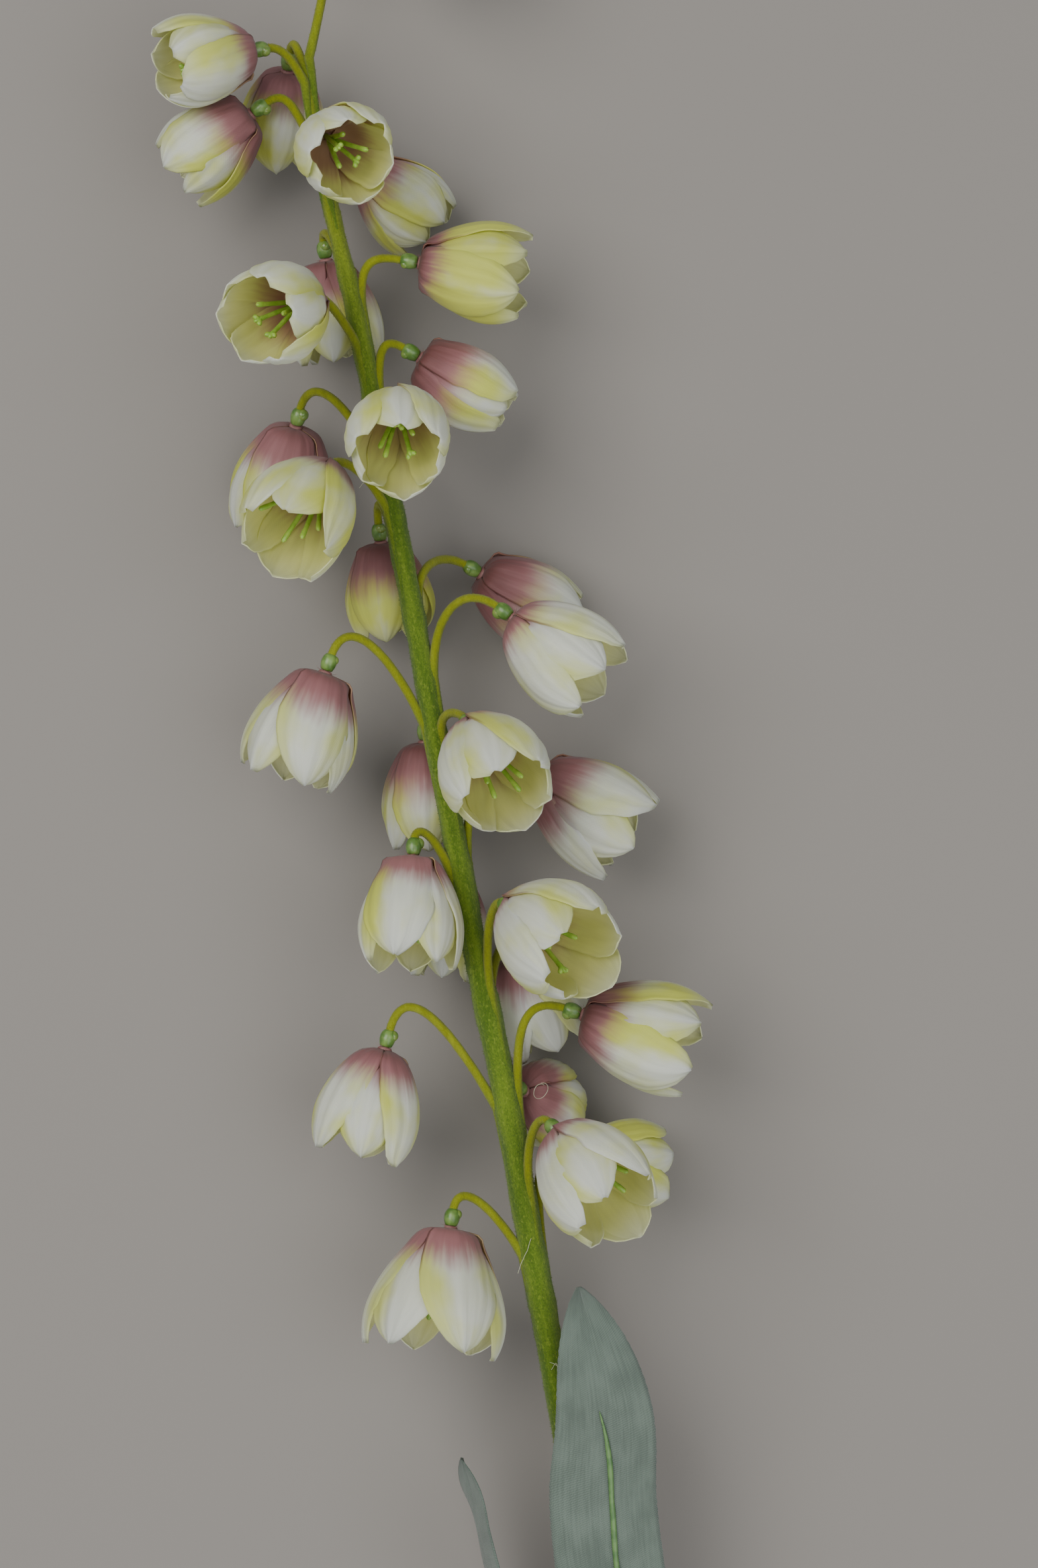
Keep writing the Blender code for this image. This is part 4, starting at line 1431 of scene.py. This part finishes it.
@dataclass
class Leaf:
    """A long fabric leaf with a wired rib, which starts against the stem.

    The table's rows are points of the middle line beyond its base. The sway's rows hold
    a distance from the rib's end and how far the rib bends aside there.
    """

    name: str
    table: Table
    stem: MainStem
    ground: Ground
    twist: float = 0.0
    face_up: bool = True
    half_width: float = 13.0
    thickness: float = 0.36
    cad_thickness: float = 0.7
    cup: float = 2.4
    base: float = 165.0
    gap: float = 0.3
    rib_radius: float = 1.1
    rib_tip_radius: float = 0.68
    rib_foot: float = 8.0
    rib_ends_before_tip: float = 32.0
    rib_taper: float = 12.0
    rib_steps: int = 46
    rib_sway: Table = ((0.0, -0.9), (6.0, 0.3), (14.0, 1.7), (24.0, 2.1), (36.0, 1.6),
                       (55.0, 1.5), (110.0, 0.0))
    strand_part: float = 0.62
    strand_radius: float = 0.42
    strand_pitch: float = 2.6
    tip_twist: float = 0.0
    tip_twist_from: float = 0.86
    fullness: float = 4.1
    tooth: float = 0.06
    cloth_length: float = 1.6
    cloth_width: float = 0.13
    rows: int = 150
    columns: int = 22
    first_seed: int = 11

    @property
    def face(self) -> Vector:
        """The direction that the rib's face looks in."""
        return UP if self.face_up else Vector((-1.0, 0.0, 0.0))

    def width_way(self, part: float) -> Vector:
        """The direction of the leaf's width at a part of its length.

        Args:
            part: the part of the leaf's length.

        Returns:
            The direction.
        """
        if self.face_up:
            return Vector((1.0, 0.0, 0.0))
        tip = smoothstep((part - self.tip_twist_from) / (1.0 - self.tip_twist_from))
        angle = math.radians(self.twist + self.tip_twist * tip)
        return Vector((math.sin(angle), 0.0, math.cos(angle)))

    def line(self) -> Table:
        """The leaf's middle line from its base against the stem."""
        reach = self.stem.radius(self.base) * self.stem.flat + self.gap + self.cad_thickness / 2
        return (tuple(self.stem.centre(self.base) + self.face * reach), *self.table)

    def centre(self, part: float) -> Vector:
        """A point of the middle line at a part of the leaf's length.

        Args:
            part: the part of the leaf's length.

        Returns:
            The point.
        """
        line = self.line()
        along = line[0][1] + (line[-1][1] - line[0][1]) * part
        return Vector((spline(line, along, 0), along, spline(line, along, 2)))

    def axes(self, part: float) -> tuple[Vector, Vector]:
        """The leaf's own directions.

        Args:
            part: the part of the leaf's length.

        Returns:
            The directions across the leaf and out of its face.
        """
        ahead, behind = self.centre(min(1.0, part + 0.01)), self.centre(max(0.0, part - 0.01))
        forward = (ahead - behind).normalized()
        width_way = self.width_way(part)
        over = (width_way - forward * width_way.dot(forward)).normalized()
        out = over.cross(forward)
        return over, out if out.dot(self.face) > 0 else -out

    def half(self, part: float) -> float:
        """The leaf's half width at a part of its length.

        Args:
            part: the part of the leaf's length.

        Returns:
            The half width in millimetres.
        """
        if part < 0.5:
            return self.half_width * (0.2 + 0.8 * math.sin(math.pi * part)**0.9)
        return self.half_width * max(0.015, 1.0 - (2.0 * part - 1.0)**self.fullness)**0.8

    def grid(self) -> np.ndarray:
        """The blade's middle surface, with fine teeth on its edges.

        Returns:
            Rows and columns of points, from the base to the tip.
        """
        rng = random.Random(len(self.name) + self.first_seed)
        grid = np.zeros((self.rows + 1, self.columns + 1, 3))
        ripple = rng.uniform(0.0, 6.0)
        for i in range(self.rows + 1):
            part = 0.998 * i / self.rows
            centre = self.centre(part)
            over, out = self.axes(part)
            half = self.half(part)
            tooth = self.tooth * (1 if i % 2 else -1) + rng.uniform(-0.05, 0.05)
            for j, s in enumerate(np.linspace(-1.0, 1.0, self.columns + 1)):
                reach = half * s + (tooth * np.sign(s) if abs(s) > 0.99 else 0.0)
                cup = self.cup * (half / self.half_width)**2 * abs(s)**1.8
                wave = 0.35 * math.sin(9.0 * part + ripple) * s**3
                wave += 0.12 * math.sin(31.0 * part + 2.0 * s)
                groove = -0.35 * math.exp(-(s / 0.1)**2)
                grid[i, j] = centre + over * reach + out * (wave - cup + groove)
        return grid

    def make_blade(self, finish: Material) -> Piece:
        """Build the blade.

        Args:
            finish: its material.

        Returns:
            The blade.
        """
        grid = self.grid()
        shell = Shell.thin(grid, self.thickness)
        parts = np.linspace(0.0, 1.0, self.rows + 1)
        across = np.linspace(-1.0, 1.0, self.columns + 1)
        grid_v, grid_u = np.meshgrid(parts * self.cloth_length, across * self.cloth_width,
                                     indexing="ij")
        uv = ("leaf", np.tile(grid_u.ravel(), 2), np.tile(grid_v.ravel(), 2))
        piece = fabric(self.name, self.ground.world(shell.points), shell.faces, uv, finish)
        inside = shell.inside()
        note(piece.data, inside=inside if self.faces_out(grid) else 1.0 - inside)
        return piece

    def faces_out(self, grid: np.ndarray) -> bool:
        """Whether the shell's first sheet is the one that the rib lies on.

        Args:
            grid: the blade's middle surface.

        Returns:
            True where it is.
        """
        row, column = self.rows // 2, self.columns // 2
        down = grid[row + 1, column] - grid[row - 1, column]
        over = grid[row, column + 1] - grid[row, column - 1]
        return float(np.dot(np.cross(over, down), np.array(self.axes(0.5)[1]))) > 0.0

    def rib_path(self) -> Path:
        """The rib's line, slightly crooked, from the stem's side towards the tip.

        Returns:
            The line, thinner towards its end.
        """
        foot = self.base - self.rib_foot
        seat = self.stem.radius(foot) * self.stem.flat + self.gap + self.rib_radius
        points, radii = [self.stem.centre(foot) + self.face * seat], [self.rib_radius]
        line = self.line()
        length = line[-1][1] - line[0][1]
        last = 1.0 - self.rib_ends_before_tip / length
        for i in range(self.rib_steps + 1):
            part = last * i / self.rib_steps
            over, out = self.axes(part)
            radius = self.rib_radius + (self.rib_tip_radius - self.rib_radius) * part / last
            radius *= 1.0 + 0.08 * math.sin(17.0 * part) + 0.05 * math.sin(61.0 * part)
            lift = self.thickness / 2 + radius * 0.55 - 0.2
            from_end = (last - part) * length
            radius *= 0.35 + 0.65 * smoothstep(from_end / self.rib_taper)
            sway = spline(self.rib_sway, from_end, 1, 0)
            points.append(self.centre(part) + out * lift + over * sway)
            radii.append(radius)
        points.append(points[-1] + (points[-1] - points[-2]).normalized() * 1.2)
        radii.append(0.1)
        return Path(points, radii)

    def strand_path(self, rib: Path) -> Path:
        """A thin second wire that winds round the rib's lower part.

        Args:
            rib: the rib's line.

        Returns:
            The wire's line.
        """
        points, radii = [], []
        count = len(rib.points) - 2
        steps = int(count * self.strand_part) * 4
        for i in range(steps + 1):
            place = i / 4
            index = min(count - 1, int(place))
            centre = rib.points[index].lerp(rib.points[index + 1], place - index)
            over, out = self.axes(index / count * 0.8)
            turn = TURN * place / self.strand_pitch
            reach = 0.75 + 0.1 * math.sin(0.7 * place)
            aside = over * math.cos(turn) * 1.1 + out * (0.45 + 0.4 * math.sin(turn))
            points.append(centre + aside * reach)
            radii.append(self.strand_radius if 0 < i < steps else 0.1)
        return Path(points, radii)


@dataclass
class LooseThreads:
    """Stray fibres of glue and flock on the stem and on a bell.

    The wisps' rows hold where one starts along the stem, the angle round the stem from
    +X to +Z in degrees, its length and what its bends are drawn from.
    """

    stem: MainStem
    radius: float = 0.06
    steps: int = 14
    wisps: tuple[tuple[float, float, float, int], ...] = (
        (340.0, 85.0, 9.0, 4), (302.0, 75.0, 10.0, 2), (292.0, 60.0, 7.0, 5),
        (308.0, 100.0, 6.0, 6), (352.0, 20.0, 8.0, 8), (526.0, 140.0, 7.0, 12),
    )
    ring_bloom: int = 26
    ring_radius: float = 1.7
    ring_steps: int = 24
    ring_turn: int = 22

    def wisp(self, along: float, turn: float, reach: float, seed: int) -> Path:
        """A thin curl that starts on the stem's surface.

        Args:
            along: where it starts.
            turn: the angle round the stem, from +X to +Z, in degrees.
            reach: its length.
            seed: what its bends are drawn from.

        Returns:
            The wisp's path.
        """
        rng = random.Random(seed)
        angle = math.radians(turn)
        out = Vector((math.cos(angle), 0.0, math.sin(angle)))
        point = self.stem.centre(along) + out * (self.stem.surface_radius(along) + 0.2)
        way = Vector((rng.uniform(-1, 1), rng.uniform(-1, 1), rng.uniform(0.0, 0.5))).normalized()
        bend = Vector((rng.uniform(-1, 1), rng.uniform(-1, 1), rng.uniform(-0.2, 0.4)))
        points = []
        for _ in range(self.steps + 1):
            points.append(point.copy())
            point = point + way * reach / self.steps
            jitter = Vector((rng.uniform(-0.2, 0.2), rng.uniform(-0.2, 0.2), 0.0))
            way = (way + bend * 0.22 + jitter).normalized()
        return Path(points, [self.radius] * len(points))

    def ring(self, centre: Vector, tilt: Vector) -> Path:
        """A loose ring of thread round a point.

        Args:
            centre: the point.
            tilt: the direction square to the ring.

        Returns:
            The ring's path.
        """
        side = tilt.orthogonal().normalized()
        other = tilt.cross(side).normalized()
        points = []
        for i in range(self.ring_steps + 1):
            angle = TURN * i / self.ring_turn
            grow = self.ring_radius * (1.0 + 0.1 * math.sin(2.3 * angle) + 0.01 * i)
            points.append(centre + side * math.cos(angle) * grow + other * math.sin(angle) * grow)
        return Path(points, [self.radius] * len(points))

    def paths(self) -> list[Path]:
        """All the stray fibres.

        Returns:
            The wisps and the ring.
        """
        centre = BLOOMS[self.ring_bloom - 1].bead + Vector((5.0, -1.0, 8.0))
        tilt = Vector((0.35, -0.5, 1.0)).normalized()
        return [self.wisp(*row) for row in self.wisps] + [self.ring(centre, tilt)]


@dataclass(frozen=True)
class SoftLight:
    """A square soft light: its name, its place and side in metres, its watts and colour."""

    name: str
    place: Row
    side: float
    power: float
    colour: Colour


@dataclass
class Studio:
    """The surface, the lights and the camera above the flower."""

    ground: Ground
    aim_side: float = 18.46
    aim_along: float = 448.05
    height: float = 1000.0
    roll: float = 10.85
    lens: float = 95.0
    sensor: float = 36.0
    clip: tuple[float, float] = (0.01, 20.0)
    floor_size: float = 6.0
    floor_level: float = -0.00005
    lights: tuple[SoftLight, ...] = (
        SoftLight("window_light", (-0.6, 0.62, 1.35), 1.1, 21.0, (1.0, 0.985, 0.96)),
        SoftLight("fill_light", (0.6, -0.15, 1.45), 1.2, 10.5, (0.95, 0.97, 1.0)),
        SoftLight("low_light", (0.1, -1.1, 0.9), 1.0, 7.5, (1.0, 0.99, 0.97)),
    )
    lights_aim: Row = (0.0, 0.05, 0.0)
    room_colour: Colour = (0.92, 0.94, 1.0)
    room_strength: float = 0.39

    def make_floor(self) -> None:
        """Lay the plain pale surface."""
        half, level = self.floor_size / 2, self.floor_level
        corners = [(-half, -half, level), (half, -half, level), (half, half, level),
                   (-half, half, level)]
        mesh = bpy.data.meshes.new("surface")
        mesh.from_pydata(corners, [], [(0, 1, 2, 3)])
        mesh.materials.append(Paper().make())
        stand("surface", mesh)

    def make_camera(self) -> None:
        """Set the camera straight above, turned as the photograph is."""
        camera = bpy.data.cameras.new("camera")
        camera.sensor_fit = "VERTICAL"
        camera.sensor_height = self.sensor
        camera.lens = self.lens
        camera.clip_start, camera.clip_end = self.clip
        holder = stand("camera", camera)
        place = Vector((self.aim_side, self.aim_along, self.height)) * MM + self.ground.shift
        angle = math.radians(self.roll)
        right = Vector((math.cos(angle), -math.sin(angle), 0.0))
        up = Vector((math.sin(angle), math.cos(angle), 0.0))
        turn = Matrix((right, up, UP)).transposed().to_4x4()
        holder.matrix_world = Matrix.Translation(place) @ turn
        bpy.context.scene.camera = holder

    def make_lights(self) -> None:
        """Hang the soft lights and set the even light of the room."""
        for light in self.lights:
            lamp = bpy.data.lights.new(light.name, "AREA")
            lamp.shape = "SQUARE"
            lamp.size, lamp.energy, lamp.color = light.side, light.power, light.colour
            holder = stand(light.name, lamp)
            holder.location = light.place
            way = Vector(self.lights_aim) - Vector(light.place)
            holder.rotation_euler = way.to_track_quat("-Z", "Y").to_euler()
        world = bpy.data.worlds.new("room")
        world.use_nodes = True
        room = world.node_tree.nodes["Background"].inputs
        room[0].default_value = (*self.room_colour, 1.0)
        room[1].default_value = self.room_strength
        bpy.context.scene.world = world


@dataclass
class Flower:
    """The whole flower: it builds its pieces in order and ties them to the frame.

    The collar's rows hold the level along a bell's axis and the radius of the frayed
    neck.
    """

    stem: MainStem
    ground: Ground
    collar: Table = ((2.15, 0.8), (2.35, 1.5), (2.85, 1.8), (3.25, 1.1))

    def settle(self, nodes: tuple[str, ...], slot: str, *pieces: Piece) -> None:
        """Tie finished pieces to the frame and report them.

        Args:
            nodes: the CAD nodes that they stand in for.
            slot: not used.
            pieces: the pieces.
        """
        for piece in pieces:
            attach(piece, "root")
            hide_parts(*nodes)
            log.info("%s: %d faces", piece.name, len(piece.data.polygons))

    def build_stem(self) -> None:
        """Make the stem, its stalks and their flock."""
        finish = StemFlock().make("stem_flock")
        stalks = [Stalk(bloom, self.stem).path() for bloom in BLOOMS]
        stem = TubeMaker(self.ground, sides=36, lumps=0.55, lump_scale=300.0).make(
            "main_stem", [self.stem.path()], finish)
        arches = TubeMaker(self.ground, sides=12, lumps=0.16, lump_scale=420.0).make(
            "stalks", stalks, finish)
        pile = StemFlock(bright=1.1).make("stem_pile")
        stem_pile = FibreMaker(density=2.6, length=0.5, width=0.05, tilt=0.9).make(
            "stem_pile", stem.data.copy(), pile)
        stalk_pile = FibreMaker(density=2.4, length=0.34, width=0.045, seed=8).make(
            "stalk_pile", arches.data.copy(), pile)
        self.settle(("stem",), "stem", stem, arches, stem_pile, stalk_pile)

    def build_hearts(self) -> None:
        """Make the beads and the stamens of all the blooms."""
        beads = [Bead(bloom, self.stem) for bloom in BLOOMS]
        maker = TubeMaker(self.ground, sides=16)
        cups = maker.make("bead_cups", [bead.cup_path() for bead in beads],
                          Jade().make("jade_cup"))
        glossy = Jade(pale=(0.19, 0.27, 0.055), deep=(0.11, 0.20, 0.035), roughness=0.22)
        balls = maker.make("bead_balls", [bead.ball_path() for bead in beads],
                           glossy.make("jade_ball"))
        lines = [path for k, bloom in enumerate(BLOOMS) for path in Stamens(bloom, k).paths()]
        lime = Jade(pale=(0.30, 0.46, 0.065), deep=(0.2, 0.36, 0.035), roughness=0.45)
        stamens = TubeMaker(self.ground).make("stamens", lines, lime.make("stamen_lime"))
        self.settle(("stem",), "stem", cups, balls, stamens)

    def build_bells(self) -> None:
        """Make the thirty bells and the frayed fibres at their necks."""
        satin = PetalSatin().make()
        fray = PlainFibre((0.17, 0.06, 0.055), (0.32, 0.16, 0.15)).make("frayed_thread")
        nodes = tuple(f"corolla_{number:02d}" for number in range(1, len(BLOOMS) + 1))
        for number, bloom in enumerate(BLOOMS, start=1):
            bell = Bell(number, bloom, self.ground, satin).make()
            self.settle((nodes[number - 1],), "petals", bell)
        collars = [Path.straight(bloom.bead, bloom.axis, self.collar) for bloom in BLOOMS]
        ring = TubeMaker(self.ground, sides=10, lumps=0.5, lump_scale=900.0).make(
            "bell_necks", collars, fray)
        ends = FibreMaker(density=2.2, length=1.5, width=0.045, tilt=0.9, seed=21).make(
            "frayed_ends", ring.data.copy(), fray)
        self.settle(nodes, "petals", ring, ends)

    def build_leaves(self) -> None:
        """Make the two leaves and their ribs."""
        front = Leaf("leaf_front_blade", (
            (2.0, 190.0, 0.8), (3.4, 215.0, 6.2), (4.5, 258.0, 9.0), (6.0, 276.0, 9.4),
            (9.6, 292.0, 10.2), (10.5, 304.0, 11.2), (9.9, 327.9, 13.7)), self.stem, self.ground)
        left = Leaf("leaf_left_blade", (
            (-9.4, 190.0, -6.4), (-17.0, 215.0, -2.3), (-22.5, 240.0, 0.5), (-24.6, 263.0, 2.0),
            (-24.9, 279.0, 3.0), (-25.8, 291.5, 4.0)), self.stem, self.ground, twist=10.0,
            tip_twist=20.0, face_up=False, cup=1.5)
        twill = LeafTwill().make()
        wire = Jade(pale=(0.11, 0.215, 0.065), deep=(0.065, 0.15, 0.042), roughness=0.55,
                    cloud=0.1).make("rib_wire")
        for leaf, node in ((front, "leaf_front"), (left, "leaf_left")):
            self.settle((node,), "leaf", leaf.make_blade(twill))
            line = leaf.rib_path()
            rib = TubeMaker(self.ground, sides=10, lumps=0.3).make(
                node + "_wire", [line, leaf.strand_path(line)], wire)
            self.settle((node + "_rib",), "leaf_rib", rib)

    def build_threads(self) -> None:
        """Make the stray fibres."""
        finish = PlainFibre((0.40, 0.42, 0.24), (0.60, 0.60, 0.46)).make("stray_fibre")
        threads = TubeMaker(self.ground, sides=4).make(
            "stray_threads", LooseThreads(self.stem).paths(), finish)
        self.settle(("stem",), "stem", threads)


def main() -> None:
    """Build the flower and its studio, and note the sizes."""
    logging.basicConfig(level=logging.INFO, format="%(name)s: %(message)s")
    stem = MainStem()
    ground = Ground.from_frame(stem.centre(0.0))
    studio = Studio(ground)
    studio.make_camera()
    studio.make_floor()
    studio.make_lights()
    flower = Flower(stem, ground)
    flower.build_stem()
    flower.build_hearts()
    flower.build_bells()
    flower.build_leaves()
    flower.build_threads()


if __name__ == "__main__":
    main()
